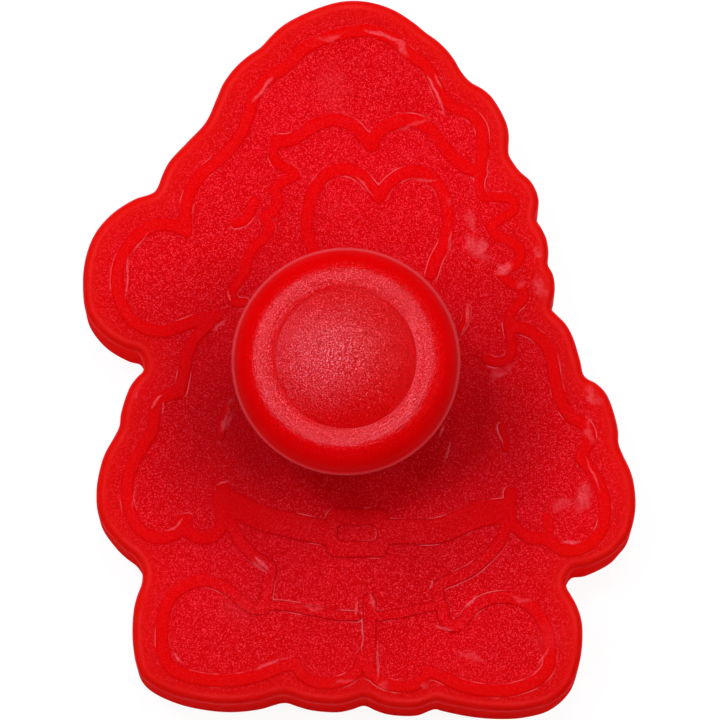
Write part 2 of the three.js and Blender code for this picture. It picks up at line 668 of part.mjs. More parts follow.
function returnSpring() {
  const wire = new THREE.Shape(Array.from({ length: 6 }, (_, i) => {
    const angle = (i * Math.PI) / 3;
    return new THREE.Vector2((WIRE_D / 2) * Math.cos(angle), (WIRE_D / 2) * Math.sin(angle));
  }));
  wire.closePath();
  return clean(new THREE.ExtrudeGeometry(wire, {
    steps: SPRING_TURNS * 13,
    bevelEnabled: false,
    extrudePath: new SpringCurve(),
  }));
}

// ---------------------------------------------------------------- knob

// Lower shell: neck over the collar, web with the spring seat, cup for the screw head,
// flared underside.
function knobBase() {
  const cupBottom = STEM_TOP + MATE_GAP;
  const screwHoleR = 1.8;
  const tongueTop = KNOB_SPLIT + 1.6;
  return revolve([
    // neck and flare, outside
    [NECK_INNER_R + EDGE_BREAK, NECK_BOTTOM],
    [NECK_OUTER_R - EDGE_BREAK, NECK_BOTTOM],
    [NECK_OUTER_R, NECK_BOTTOM + EDGE_BREAK],
    [NECK_OUTER_R, 27.2],
    [9.4, 28.6],
    [10.4, 29.9],
    [11.9, 31.2],
    [13.1, 32.2],
    // joint, with a tongue standing inside the upper shell
    [13.45, KNOB_SPLIT - 0.1],
    [12.9, KNOB_SPLIT - 0.1],
    [12.75, tongueTop],
    [11.6, tongueTop],
    // flare, inside, and up the neck to the web
    [11.6, 32.7],
    [10.8, 31.7],
    [NECK_OUTER_R, 30.6],
    [NECK_OUTER_R, WEB_TOP],
    // cup
    [CUP_INNER_R, WEB_TOP],
    [CUP_INNER_R, CUP_FLOOR_Z],
    [screwHoleR, CUP_FLOOR_Z],
    [screwHoleR, cupBottom],
    [CUP_OUTER_R - EDGE_BREAK, cupBottom],
    [CUP_OUTER_R, cupBottom + EDGE_BREAK],
    // spring seat and neck bore
    [CUP_OUTER_R, WEB_Z],
    [NECK_INNER_R, WEB_Z],
    [NECK_INNER_R, NECK_BOTTOM + EDGE_BREAK],
  ], 32, true);
}

// Upper shell: rounded shoulder, crest ring, seat for the thumb button.
function knobShell() {
  const shoulder = Array.from({ length: 7 }, (_, k) => {
    const angle = THREE.MathUtils.degToRad(15 * k);
    return [
      KNOB_R - SHOULDER_R * (1 - Math.cos(angle)),
      SHOULDER_Z + SHOULDER_R * Math.sin(angle),
    ];
  });
  return revolve([
    // side and crest
    [13.0, KNOB_SPLIT],
    [13.55, KNOB_SPLIT],
    [14.15, 33.8],
    [14.55, 35.1],
    ...shoulder,
    [10.0, 40.34],
    [CAP_SEAT_R + 0.05, 40.22],
    // button seat
    [CAP_SEAT_R, 40.14],
    [CAP_SEAT_R, CAP_SEAT_Z],
    [7.7, CAP_SEAT_Z],
    [7.7, 38.0],
    // inside of the shell
    [10.2, 38.0],
    [11.9, 37.2],
    [12.8, 35.8],
    [13.0, 34.3],
  ], 36, true);
}

// Thumb button: shallow dome over the screw, with a ring underneath.
function thumbCap() {
  const bottom = CAP_SEAT_Z + MATE_GAP;
  const ringInner = 6.3;
  const ringOuter = 7.5;
  const ringBottom = 38.2;
  const dome = [8, 6.5, 5, 3.3, 1.6, 0].map((radius) => [
    radius,
    KNOB_TOP - (DOME_R - Math.sqrt(DOME_R * DOME_R - radius * radius)),
  ]);
  return revolve([
    [0, 39.3],
    [ringInner, 39.0],
    [ringInner, ringBottom],
    [ringOuter, ringBottom],
    [ringOuter, bottom],
    [CAP_R, bottom],
    [CAP_R, 40.08],
    [CAP_R - 0.08, 40.16],
    ...dome,
  ], 36, false);
}

// Screw: pan head with a cross recess, plain-shank stand-in for the thread.
function knobScrew() {
  const tip = PILOT_BOTTOM + 0.6;
  const shankR = 1.5;
  const headR = 2.75;
  const headBottom = CUP_FLOOR_Z + MATE_GAP;
  const headTop = STEM_TOP + 3.3;
  let screw = toManifold(revolve([
    [0, tip],
    [0.6, tip],
    [shankR, PILOT_BOTTOM + 2.0],
    [shankR, headBottom],
    [headR, headBottom],
    [headR, STEM_TOP + 2.2],
    [2.2, STEM_TOP + 3.0],
    [0, headTop],
  ], 16, false));

  const slotLength = 3.0;
  const slotWidth = 0.6;
  const slotDepth = 1.2;
  for (const [sizeX, sizeY] of [[slotLength, slotWidth], [slotWidth, slotLength]]) {
    const slot = new THREE.BoxGeometry(sizeX, sizeY, 2 * slotDepth);
    slot.translate(AXIS_X, AXIS_Y, headTop);
    screw = screw.subtract(toManifold(slot));
  }
  return fromManifold(screw);
}

// ---------------------------------------------------------------- assembly

function add(parent, name, geometry, surface) {
  const mesh = new THREE.Mesh(geometry, surface);
  mesh.name = name;
  parent.add(mesh);
}

const press = new THREE.Group();
add(press, 'cutter_body', cutterBody(), redPlate);
add(press, 'embossing_plate', embossingPlate(), redInner);
add(press, 'plunger_stem', plungerStem(), redInner);
add(press, 'return_spring', returnSpring(), steel);

const knob = new THREE.Group();
press.add(knob);
add(knob, 'knob_base', knobBase(), redKnob);
add(knob, 'knob_shell', knobShell(), redKnob);
add(knob, 'thumb_cap', thumbCap(), redKnob);
add(knob, 'knob_screw', knobScrew(), steel);

export default press;
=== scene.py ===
"""Press cutter in the shape of a figure in a hat and belted coat.

It stands on z = 0 with the cutting edge down; the figure's head points to +Y. A top plate with
raised lines closes the wall and carries a collar. A sprung plunger slides along Z in the collar,
with a round knob on top and an embossing plate inside the wall. Lengths are in mm until meshes
are made; Blender's unit is the metre.
"""
import math

import bmesh
import bpy
import numpy as np
from mathutils import Matrix, Vector
from mathutils.geometry import delaunay_2d_cdt


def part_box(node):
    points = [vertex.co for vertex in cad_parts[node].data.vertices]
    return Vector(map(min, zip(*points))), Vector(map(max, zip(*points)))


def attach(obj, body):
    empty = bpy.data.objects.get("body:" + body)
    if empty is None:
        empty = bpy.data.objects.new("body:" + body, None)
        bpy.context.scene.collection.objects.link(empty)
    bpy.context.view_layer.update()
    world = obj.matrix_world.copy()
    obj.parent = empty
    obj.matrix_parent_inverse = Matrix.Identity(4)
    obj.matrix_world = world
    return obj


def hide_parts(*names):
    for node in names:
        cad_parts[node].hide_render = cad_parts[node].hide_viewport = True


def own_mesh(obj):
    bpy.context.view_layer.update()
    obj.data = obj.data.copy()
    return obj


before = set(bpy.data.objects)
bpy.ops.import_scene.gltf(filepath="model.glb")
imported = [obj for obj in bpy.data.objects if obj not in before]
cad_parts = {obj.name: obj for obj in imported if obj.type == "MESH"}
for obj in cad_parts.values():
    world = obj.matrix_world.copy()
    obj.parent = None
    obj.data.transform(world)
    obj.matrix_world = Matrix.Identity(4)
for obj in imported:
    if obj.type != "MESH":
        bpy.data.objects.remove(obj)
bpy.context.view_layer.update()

MM = 0.001

# ---------------------------------------------------------------- main sizes (mm)


def cad_box(node):
    """Low and high corners of a CAD piece, in mm."""
    low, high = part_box(node)
    return np.array(low) * 1000.0, np.array(high) * 1000.0


def cad_bottom(node):
    return float(cad_box(node)[0][2])


def cad_top(node):
    return float(cad_box(node)[1][2])


_shell_low, _shell_high = cad_box("knob_shell")
AX = float(_shell_low[0] + _shell_high[0]) / 2   # plunger axis
AY = float(_shell_low[1] + _shell_high[1]) / 2
COLLAR_TOP = cad_top("cutter_body")
TOP_Z = COLLAR_TOP - 11.0                        # upper face of the top plate
CEILING_Z = TOP_Z - 1.8                          # lower face of the top plate
WALL_T = 1.6
RIM_R = 1.0                                      # rounding of the plate's rim
LINE_H = 0.18                                    # height of the raised lines
SOCKET_H = 2.1
STAMP_TOP = cad_top("embossing_plate") - SOCKET_H
STAMP_BOTTOM = STAMP_TOP - 1.6
RIDGE_TIP = cad_bottom("embossing_plate")
STEM_TOP = cad_top("plunger_stem")
KNOB_SPLIT = cad_bottom("knob_shell")            # seam between knob base and shell
KNOB_TOP = cad_top("thumb_cap")                  # crown of the button
SPRING_BOTTOM = cad_bottom("return_spring")
SPRING_TOP = cad_top("return_spring")
SEGMENTS = 144                                   # around the collar and the stamp's socket

# ---------------------------------------------------------------- outline and lines (mm)

# outer edge of the cutter: x, y, counter-clockwise from the head
OUTLINE = [
    (-2.36, 47.14), (-5.78, 46.14), (-9.08, 44.58), (-10.51, 43.6), (-11.82, 42.33),
    (-13.05, 40.99), (-14.55, 39.94), (-15.88, 38.83), (-17.1, 37.46), (-18.1, 35.93),
    (-18.81, 34.25), (-20.27, 31), (-22.72, 28.29), (-25.11, 25.67), (-25.96, 24.05),
    (-26.6, 22.33), (-27.08, 21.63), (-27.84, 21.25), (-29.58, 20.69), (-32.63, 18.72),
    (-34.93, 16), (-36.18, 12.58), (-36.47, 8.94), (-35.97, 5.45), (-33.79, 2.52),
    (-30.78, 0.67), (-29.06, 0.1), (-28.39, -1.54), (-28.51, -2.31), (-29.13, -2.91),
    (-30.21, -4.38), (-31.37, -7.84), (-31.58, -9.56), (-32.36, -11.19), (-33.27, -12.77),
    (-33.92, -14.48), (-34.55, -17.98), (-34.19, -21.61), (-32.22, -24.54), (-30.91, -25.82),
    (-29.47, -26.95), (-28.56, -28.49), (-28.53, -30.26), (-29.11, -31.9), (-29.56, -33.67),
    (-29.75, -37.32), (-29.28, -40.85), (-28.59, -42.53), (-27.25, -43.76), (-24.02, -45.23),
    (-20.45, -46.05), (-16.9, -46.33), (-13.27, -45.97), (-9.83, -45.11), (-8.08, -45.6),
    (-6.32, -46.08), (-2.77, -46.34), (-0.99, -45.99), (0.75, -45.49), (2.42, -46.18),
    (4.18, -46.68), (7.73, -46.77), (9.43, -46.13), (10.25, -45.93), (11.16, -46.18),
    (14.65, -46.9), (18.3, -47.24), (21.85, -47.07), (25.36, -46.07), (27.95, -43.69),
    (29.12, -40.25), (29.41, -36.7), (29.21, -34.89), (28.61, -33.17), (27.77, -31.65),
    (27.35, -30.9), (27.35, -29.97), (28.26, -28.5), (30.05, -28.19), (33.32, -26.6),
    (34.54, -25.37), (35.63, -23.9), (36.44, -20.37), (36.18, -16.82), (35.64, -15.08),
    (34.85, -13.43), (34.26, -11.84), (34.18, -10.02), (33.23, -6.49), (32.44, -4.95),
    (31.1, -3.73), (30.32, -3.36), (29.67, -2.73), (29.25, -0.95), (28.21, 2.45),
    (27.31, 4.04), (26.04, 5.35), (25.49, 5.97), (25.55, 6.79), (25.91, 8.42), (25.78, 10.2),
    (25.5, 11.01), (25.03, 11.85), (25.09, 13.62), (24.81, 15.42), (24.06, 16.98),
    (23.59, 17.7), (23.53, 18.62), (23.83, 20.19), (23.53, 21.68), (22.67, 23.17),
    (21.32, 24.4), (20.26, 25.87), (19.88, 26.64), (19.84, 27.59), (19.89, 29.31),
    (19.48, 31.09), (17.69, 34.26), (16.41, 35.42), (14.83, 36.35), (13.64, 37.69),
    (12.72, 39.28), (11.68, 40.66), (10.36, 41.93), (8.88, 43), (7.48, 44.18), (4.49, 46.09),
    (1, 47.14),
]

# raised lines: name: (width, [(x, y), ...]); _l is the -X side, _r the +X side
STROKES = {
    "hat_edge": (1.6, [
        (-22.8, 16.2), (-22.9, 18.4), (-22.5, 20.9), (-21.0, 23.6), (-18.3, 26.0), (-16.1, 28.4),
        (-14.7, 31.3), (-14.0, 34.0), (-12.4, 36.3), (-9.4, 38.4), (-7.4, 40.5), (-4.4, 42.0),
        (-1.1, 42.9), (1.9, 43.0), (4.5, 41.9), (6.6, 40.0), (8.8, 38.4), (10.0, 36.4),
        (10.9, 34.3), (12.4, 32.9), (14.6, 32.0), (16.1, 30.3), (16.4, 27.6), (16.1, 24.8)]),
    "trim": (1.7, [
        (-10.9, 28.3), (-9.1, 28.4), (-7.5, 29.2), (-5.5, 30.5), (-3.1, 31.1), (-0.9, 30.4),
        (0.6, 28.9), (1.7, 27.6)]),
    "trim2": (1.7, [
        (1.7, 27.6), (2.8, 29.6), (4.7, 30.7), (6.8, 31.1), (8.8, 30.4), (10.4, 28.7),
        (12.1, 26.5), (14.1, 24.8), (16.1, 24.0)]),
    "curl_r1": (1.3, [
        (16.1, 24.0), (15.9, 22.2), (16.3, 21.0), (18.0, 20.8), (19.9, 20.6), (20.6, 19.7),
        (19.9, 18.5), (18.4, 17.7), (17.4, 16.9)]),
    "curl_r2": (1.3, [
        (17.4, 16.9), (18.2, 15.7), (20.0, 14.9), (21.3, 13.7), (21.1, 12.2), (19.6, 11.2),
        (18.8, 10.5)]),
    "curl_r3": (1.3, [
        (18.8, 10.5), (19.9, 9.4), (21.5, 8.6), (21.7, 7.3), (20.5, 5.9), (19.7, 4.4),
        (19.9, 2.5), (20.2, 0.8), (19.7, -0.7), (18.1, -1.2), (16.7, -0.7)]),
    "curl_l1": (1.3, [
        (-10.7, 28.1), (-11.3, 26.7), (-10.7, 25.2), (-9.1, 24.5), (-8.4, 23.7), (-10.0, 22.9),
        (-11.2, 21.7)]),
    "curl_l2": (1.3, [
        (-11.2, 21.7), (-10.6, 20.2), (-11.4, 18.8), (-12.5, 18.0), (-11.7, 16.8),
        (-12.4, 15.4), (-13.8, 14.2)]),
    "curl_l3": (1.3, [
        (-13.8, 14.2), (-14.7, 12.6), (-15.1, 10.8), (-16.0, 9.3), (-16.8, 8.0), (-16.3, 6.8),
        (-15.1, 6.7)]),
    "curl_l4": (1.3, [(-13.8, 20.2), (-14.3, 18.8), (-15.3, 17.6), (-16.3, 17.3)]),
    "opening_l": (1.6, [
        (-6.1, 13.7), (-6.8, 16.2), (-6.7, 19.0), (-5.9, 21.7), (-4.3, 23.7), (-1.9, 24.5),
        (0.2, 23.7), (1.7, 22.1), (2.6, 20.8)]),
    "opening_r": (1.6, [
        (2.6, 20.8), (3.8, 22.4), (5.4, 23.7), (7.3, 24.2), (9.3, 23.6), (10.8, 22.0),
        (11.6, 19.8), (11.8, 17.2), (11.3, 14.6), (10.2, 12.4), (9.6, 10.5)]),
    "pompom": (1.6, [
        (-22.8, 16.2), (-24.6, 17.0), (-26.8, 17.0), (-29.1, 15.8), (-31.0, 13.4),
        (-31.9, 10.2), (-31.5, 7.1), (-30.0, 4.5), (-27.9, 3.2), (-25.7, 2.9), (-23.4, 3.6),
        (-21.0, 4.5), (-18.9, 4.8)]),
    "side_l": (1.6, [
        (-18.9, 4.8), (-20.4, 3.3), (-21.8, 1.6), (-22.7, -0.7), (-23.1, -3.0), (-23.5, -5.0)]),
    "sleeve_l": (1.6, [
        (-23.5, -5.0), (-25.0, -5.6), (-26.4, -6.2), (-26.9, -8.2), (-27.2, -10.3),
        (-28.5, -12.5), (-29.8, -14.8), (-30.5, -17.6), (-30.3, -20.3), (-29.4, -22.5),
        (-27.7, -24.1), (-25.8, -24.5), (-24.1, -23.9), (-22.9, -23.0)]),
    "sleeve_l2": (1.6, [
        (-22.9, -23.0), (-21.9, -24.1), (-20.6, -24.5), (-19.0, -24.1), (-17.9, -22.8)]),
    "thumb_l": (1.2, [(-22.9, -23.6), (-23.7, -22.8), (-23.3, -22.0), (-22.4, -21.8)]),
    "belt_l": (3.3, [
        (-17.7, -19.5), (-15.6, -20.4), (-13.0, -21.7), (-9.7, -22.6), (-7.0, -23.2),
        (-4.4, -23.7)]),
    "belt_r": (3.3, [
        (3.5, -23.6), (6.8, -23.6), (9.8, -23.6), (12.0, -23.0), (14.0, -22.1), (16.1, -21.3),
        (19.0, -20.9)]),
    "loop_l": (1.6, [(-17.8, -17.7), (-18.2, -19.5), (-18.0, -22.1)]),
    "loop_r": (1.6, [(19.9, -18.5), (19.9, -20.1), (19.4, -22.8)]),
    "coat_l": (1.6, [
        (-16.8, -22.5), (-15.7, -24.7), (-13.7, -26.9), (-11.6, -28.3), (-11.9, -30.4),
        (-12.3, -33.0)]),
    "coat_r": (1.6, [
        (19.4, -22.8), (18.6, -24.9), (16.9, -26.9), (14.9, -28.6), (12.5, -29.8),
        (10.4, -30.8), (10.4, -32.1), (11.1, -34.0)]),
    "hem_l": (1.3, [
        (-12.3, -33.3), (-9.7, -33.4), (-6.4, -34.0), (-3.1, -34.6), (-0.3, -34.8)]),
    "hem_r": (1.3, [(2.3, -34.8), (5.4, -34.4), (8.7, -33.6), (11.1, -33.2)]),
    "leg": (1.7, [(1.4, -32.6), (1.4, -35.9), (1.4, -39.2), (1.4, -42.2)]),
    "boot_l": (1.6, [
        (-12.3, -33.7), (-14.0, -33.7), (-15.6, -32.6), (-17.4, -31.1), (-19.8, -30.1),
        (-22.1, -30.4), (-24.4, -32.0), (-25.5, -34.2), (-25.8, -36.7), (-25.7, -39.2),
        (-24.7, -41.5), (-22.6, -42.6), (-19.5, -43.2), (-16.2, -43.2), (-12.9, -42.5),
        (-10.3, -41.5), (-8.3, -40.9)]),
    "heel_l": (1.5, [
        (-8.3, -41.2), (-7.4, -42.5), (-5.7, -43.4), (-3.6, -43.6), (-1.5, -43.0),
        (-0.1, -41.7), (0.6, -39.9)]),
    "heel_r": (1.5, [
        (1.4, -41.9), (2.3, -42.9), (3.7, -43.7), (5.7, -44.0), (7.8, -43.6), (9.1, -42.2)]),
    "boot_r": (1.6, [
        (11.1, -33.6), (11.2, -35.1), (12.4, -36.1), (13.8, -35.3), (14.9, -33.8),
        (16.9, -32.6), (19.5, -32.3), (21.7, -32.9), (23.6, -34.5), (24.7, -36.7),
        (25.1, -39.2), (24.8, -41.6), (23.3, -43.2), (20.9, -44.2), (18.4, -44.6),
        (15.6, -44.4), (13.0, -43.7), (10.8, -42.6), (9.2, -42.0)]),
    "side_r": (1.6, [
        (20.4, 3.6), (22.6, 2.9), (24.6, 1.2), (25.5, -1.2), (26.0, -4.2), (26.8, -6.8),
        (28.1, -8.6), (29.0, -9.0)]),
    "sleeve_r": (1.6, [
        (29.0, -9.0), (30.1, -9.9), (30.4, -11.5), (29.6, -13.0), (29.2, -13.9)]),
    "sleeve_r2": (1.6, [
        (29.2, -13.9), (30.7, -15.6), (32.0, -18.3), (32.4, -20.8), (32.0, -23.2),
        (30.8, -24.9), (29.1, -25.9), (27.1, -26.1), (25.6, -25.3)]),
    "sleeve_r3": (1.6, [
        (25.6, -25.3), (24.6, -24.6), (22.9, -24.5), (21.4, -23.8), (20.1, -22.5)]),
    "thumb_r": (1.2, [(24.9, -24.3), (25.0, -23.0), (24.7, -21.8)]),
    "drop1": (1.1, [(-17.3, -7.4), (-18.0, -9.3), (-18.2, -11.0)]),
    "drop2": (0.9, [(18.8, -9.7), (19.2, -11.3), (19.4, -12.7)]),
    "drop3": (0.9, [(14.3, 6.0), (14.1, 4.5), (13.5, 3.2)]),
}

# buckle: centre, then half width, half height and corner radius of its plate and its window
BUCKLE_CENTRE = (-0.2, -23.8)
BUCKLE_PLATE = (4.1, 3.2, 1.3)
BUCKLE_WINDOW = (2.6, 1.05, 0.8)

# ---------------------------------------------------------------- curves


def catmull(points, closed=False, steps=24):
    """Centripetal Catmull-Rom curve through the points."""
    P = np.array(points, float)
    if not closed:
        P = np.vstack([2 * P[0] - P[1], P, 2 * P[-1] - P[-2]])
    n = len(P)
    out = []
    s = np.linspace(0, 1, steps, endpoint=False)[:, None]
    for i in range(n) if closed else range(1, n - 2):
        p0, p1, p2, p3 = P[(i - 1) % n], P[i], P[(i + 1) % n], P[(i + 2) % n]
        d1 = np.linalg.norm(p1 - p0) ** 0.5
        d2 = np.linalg.norm(p2 - p1) ** 0.5
        d3 = np.linalg.norm(p3 - p2) ** 0.5
        t1 = ((p1 - p0) / d1 - (p2 - p0) / (d1 + d2) + (p2 - p1) / d2) * d2
        t2 = ((p2 - p1) / d2 - (p3 - p1) / (d2 + d3) + (p3 - p2) / d3) * d2
        out.append(p1 + t1 * s + (-3 * p1 + 3 * p2 - 2 * t1 - t2) * s ** 2
                   + (2 * p1 - 2 * p2 + t1 + t2) * s ** 3)
    if not closed:
        out.append(P[-2][None])
    return np.vstack(out)


def resample(P, count, closed=True):
    """The curve as evenly spaced points."""
    Q = np.vstack([P, P[:1]]) if closed else P
    length = np.r_[0, np.cumsum(np.linalg.norm(np.diff(Q, axis=0), axis=1))]
    s = np.linspace(0, length[-1], count, endpoint=not closed)
    return np.stack([np.interp(s, length, Q[:, 0]), np.interp(s, length, Q[:, 1])], -1)


def smooth_closed(P, sigma):
    """Gaussian smoothing round a closed loop; sigma counts samples."""
    k = np.arange(-int(3 * sigma) - 1, int(3 * sigma) + 2)
    kernel = np.exp(-0.5 * (k / sigma) ** 2)
    kernel /= kernel.sum()
    w = k[-1]
    return np.stack([np.convolve(np.r_[P[-w:, i], P[:, i], P[:w, i]], kernel, "valid")
                     for i in range(P.shape[1])], -1)


def circle(radius, count):
    """Points round the plunger axis; radius may be an array, one value per point."""
    a = np.arange(count) * 2 * math.pi / count
    return np.stack([AX + radius * np.cos(a), AY + radius * np.sin(a)], -1)


def lift(points, z):
    """Flat points raised to z, one height or one per point."""
    return np.c_[points, np.full(len(points), z)]


def quarter(steps, first=0):
    """(sine, cosine) pairs of a right angle cut into steps."""
    angles = [math.radians(90 * k / steps) for k in range(first, steps + 1)]
    return [(math.sin(q), math.cos(q)) for q in angles]


def sample_outline():
    """Outline points, closer together in tight curves, and their outward normals."""
    fine_count = 5800
    step = 289.0 / fine_count   # the outline's length is taken as 289 mm
    spacing = 0.32              # on straight runs
    extra_per_curvature = 3.2
    fine = smooth_closed(resample(catmull(OUTLINE, closed=True), fine_count), sigma=2.0)
    tangent = np.roll(fine, -2, 0) - np.roll(fine, 2, 0)
    angle = np.unwrap(np.arctan2(tangent[:, 1], tangent[:, 0]))
    turn = np.abs(np.roll(angle, -1) - angle)
    curvature = np.where(turn > 3, 0, turn) / step   # no full-turn jump where the loop closes
    curvature = smooth_closed(curvature[:, None], sigma=4.0)[:, 0]
    density = 1 / spacing + extra_per_curvature * curvature
    total = np.r_[0, np.cumsum(density * step)]
    count = int(round(total[-1]))
    at = np.interp(np.arange(count) * total[-1] / count, total, np.arange(fine_count + 1))
    pick = at.astype(int) % fine_count
    tangent = np.roll(fine, -5, 0) - np.roll(fine, 5, 0)
    tangent = tangent / np.linalg.norm(tangent, axis=1)[:, None]
    normal = np.stack([tangent[:, 1], -tangent[:, 0]], -1)
    return fine[pick], normal[pick]


OUTLINE_POINTS, OUTLINE_NORMALS = sample_outline()
RING_N = len(OUTLINE_POINTS)


def ring(inset):
    """The outline moved inwards."""
    return OUTLINE_POINTS - OUTLINE_NORMALS * inset


# ---------------------------------------------------------------- distance field of the lines

CELL = 0.16
GRID_X, GRID_Y = -38.0, -49.0
GRID_NX, GRID_NY = int(76 / CELL) + 1, int(98 / CELL) + 1


def segment_distance(P, a, b):
    d = b - a
    t = np.clip(((P - a) @ d) / max(1e-12, float(d @ d)), 0, 1)
    return np.linalg.norm(P - a - t[..., None] * d, axis=-1)


def rounded_box(P, half_w, half_h, radius):
    """Signed distance to a rounded box about the buckle's centre."""
    qx = np.abs(P[..., 0] - BUCKLE_CENTRE[0]) - half_w + radius
    qy = np.abs(P[..., 1] - BUCKLE_CENTRE[1]) - half_h + radius
    outside = np.hypot(np.maximum(qx, 0), np.maximum(qy, 0))
    return outside + np.minimum(np.maximum(qx, qy), 0) - radius


def pattern_grid():
    """Signed distance to the line pattern, negative inside a line, on a grid."""
    field = np.full((GRID_NY, GRID_NX), 6.0)
    xs = GRID_X + CELL * np.arange(GRID_NX)
    ys = GRID_Y + CELL * np.arange(GRID_NY)
    for width, points in STROKES.values():
        line = resample(catmull(points), len(points) * 9, closed=False)
        half = width / 2
        reach = half + 1.6
        for a, b in zip(line[:-1], line[1:]):
            i0, i1 = np.searchsorted(xs, [min(a[0], b[0]) - reach, max(a[0], b[0]) + reach])
            j0, j1 = np.searchsorted(ys, [min(a[1], b[1]) - reach, max(a[1], b[1]) + reach])
            near = np.stack(np.meshgrid(xs[i0:i1], ys[j0:j1]), -1)
            d = segment_distance(near, a, b) - half
            field[j0:j1, i0:i1] = np.minimum(field[j0:j1, i0:i1], d)
    P = np.stack(np.meshgrid(xs, ys), -1)
    field = np.minimum(field, rounded_box(P, *BUCKLE_PLATE))
    return np.maximum(field, -rounded_box(P, *BUCKLE_WINDOW))


PATTERN = pattern_grid()


def sample_grid(field, P):
    """Bilinear reading of a grid at the points."""
    x = (P[:, 0] - GRID_X) / CELL
    y = (P[:, 1] - GRID_Y) / CELL
    i = np.clip(x.astype(int), 0, GRID_NX - 2)
    j = np.clip(y.astype(int), 0, GRID_NY - 2)
    u, v = x - i, y - j
    return (field[j, i] * (1 - u) * (1 - v) + field[j, i + 1] * u * (1 - v)
            + field[j + 1, i] * (1 - u) * v + field[j + 1, i + 1] * u * v)


def contours(field, level):
    """Closed loops where the field equals the level, by marching squares."""
    G = field - level
    low = G < 0
    count = low[:-1, :-1] * 1 + low[:-1, 1:] * 1 + low[1:, 1:] * 1 + low[1:, :-1] * 1
    rows, columns = np.nonzero((count > 0) & (count < 4))
    follow, place = {}, {}

    def crossing(a, b):
        key = (a, b) if a < b else (b, a)
        if key not in place:
            ga, gb = G[a[1], a[0]], G[b[1], b[0]]
            t = ga / (ga - gb)
            place[key] = (GRID_X + CELL * (a[0] + t * (b[0] - a[0])),
                          GRID_Y + CELL * (a[1] + t * (b[1] - a[1])))
        return key

    for j, i in zip(rows.tolist(), columns.tolist()):
        corners = [(i, j), (i + 1, j), (i + 1, j + 1), (i, j + 1)]
        s = [bool(low[c[1], c[0]]) for c in corners]
        cuts = [(crossing(corners[e], corners[(e + 1) % 4]), s[e])
                for e in range(4) if s[e] != s[(e + 1) % 4]]
        if len(cuts) == 2:
            a, b = cuts
            if a[1]:
                follow[a[0]] = b[0]
            else:
                follow[b[0]] = a[0]
        else:
            # saddle cell: its middle decides which crossings join
            middle_low = (G[j, i] + G[j, i + 1] + G[j + 1, i] + G[j + 1, i + 1]) < 0
            for e in range(4):
                if cuts[e][1]:
                    follow[cuts[e][0]] = cuts[(e + 1) % 4 if middle_low else (e + 3) % 4][0]
    loops = []
    while follow:
        key = next(iter(follow))
        loop = []
        while key in follow:
            loop.append(place[key])
            key = follow.pop(key)
        if len(loop) > 12:
            loops.append(np.array(loop))
    return loops


def contour_loops(field, levels):
    """Evenly spaced, lightly smoothed contours for (level, spacing) pairs; specks are dropped."""
    loops = []
    for level, spacing in levels:
        for loop in contours(field, level):
            length = np.linalg.norm(np.roll(loop, -1, 0) - loop, axis=1).sum()
            if length >= 1.2:
                even = smooth_closed(resample(loop, max(12, int(length / 0.08))), sigma=1.6)
                loops.append(resample(even, max(10, int(length / spacing))))
    return loops


# ---------------------------------------------------------------- flat faces


def inside_polygon(P, polygon):
    x, y = P[:, 0], P[:, 1]
    inside = np.zeros(len(P), bool)
    for (xi, yi), (xj, yj) in zip(polygon, np.roll(polygon, 1, 0)):
        spans = (yi > y) != (yj > y)
        if spans.any():
            inside ^= spans & (x < (xj - xi) * (y - yi) / (yj - yi + 1e-30) + xi)
    return inside


def region(outer, holes, loops, points):
    """Triangulated flat region. The first vertices are outer then holes, in order."""
    rings = [outer, *holes, *loops]
    edges, start = [], 0
    for loop in rings:
        n = len(loop)
        edges.extend((start + k, start + (k + 1) % n) for k in range(n))
        start += n
    given = [Vector(p) for p in np.vstack([*rings, points]).tolist()]
    verts, _, faces, origins, _, _ = delaunay_2d_cdt(given, edges, [], 0, 1e-5, True)
    V = np.array([tuple(p) for p in verts])
    F = np.array([tuple(t) for t in faces])
    centre = V[F].mean(1)
    keep = inside_polygon(centre, outer)
    for hole in holes:
        keep &= ~inside_polygon(centre, hole)
    F = F[keep]
    # put the border vertices first, in their own order
    where = {old: new for new, olds in enumerate(origins) for old in olds}
    order = [where[k] for k in range(len(outer) + sum(len(h) for h in holes))]
    border = set(order)
    order += [k for k in sorted(set(F.ravel().tolist())) if k not in border]
    remap = {old: new for new, old in enumerate(order)}
    F = np.array([[remap[a] for a in t] for t in F.tolist()])
    V = V[order]
    a, b, c = V[F[:, 0]], V[F[:, 1]], V[F[:, 2]]
    area = (b[:, 0] - a[:, 0]) * (c[:, 1] - a[:, 1]) - (b[:, 1] - a[:, 1]) * (c[:, 0] - a[:, 0])
    F[area < 0] = F[area < 0][:, ::-1]
    return V, F


def nearest(points, targets):
    """Distance from each point to its nearest target."""
    return np.array([np.hypot(*(targets - p).T).min() for p in points])


def flat_points(step, outer, holes, seed, field=None):
    """Jittered grid of points, away from borders and from the lines of a field."""
    rng = np.random.default_rng(seed)
    X, Y = np.meshgrid(np.arange(-37, 37, step), np.arange(-48, 48, step))
    P = np.stack([X.ravel(), Y.ravel()], -1) + rng.uniform(-0.2, 0.2, (X.size, 2)) * step
    P = P[inside_polygon(P, outer)]
    if field is not None:
        P = P[np.abs(sample_grid(field, P)) > 0.75]
    P = P[nearest(P, outer[::2]) > 0.8]
    for hole in holes:
        centre = hole.mean(0)
        P = P[np.hypot(*(P - centre).T) > np.hypot(*(hole[0] - centre)) + 0.5]
    return P


# ---------------------------------------------------------------- mesh building

# band: smooth plastic; edge: painted glow of light through the plastic near the rim; line, glint:
# painted shade at the foot and painted glints by the upper edge of the raised lines; lip: painted
# highlight on the corner of the rim
ATTRIBUTES = ("band", "edge", "line", "glint", "lip")


def add_object(name, data):
    thing = bpy.data.objects.new(name, data)
    bpy.context.scene.collection.objects.link(thing)
    return thing


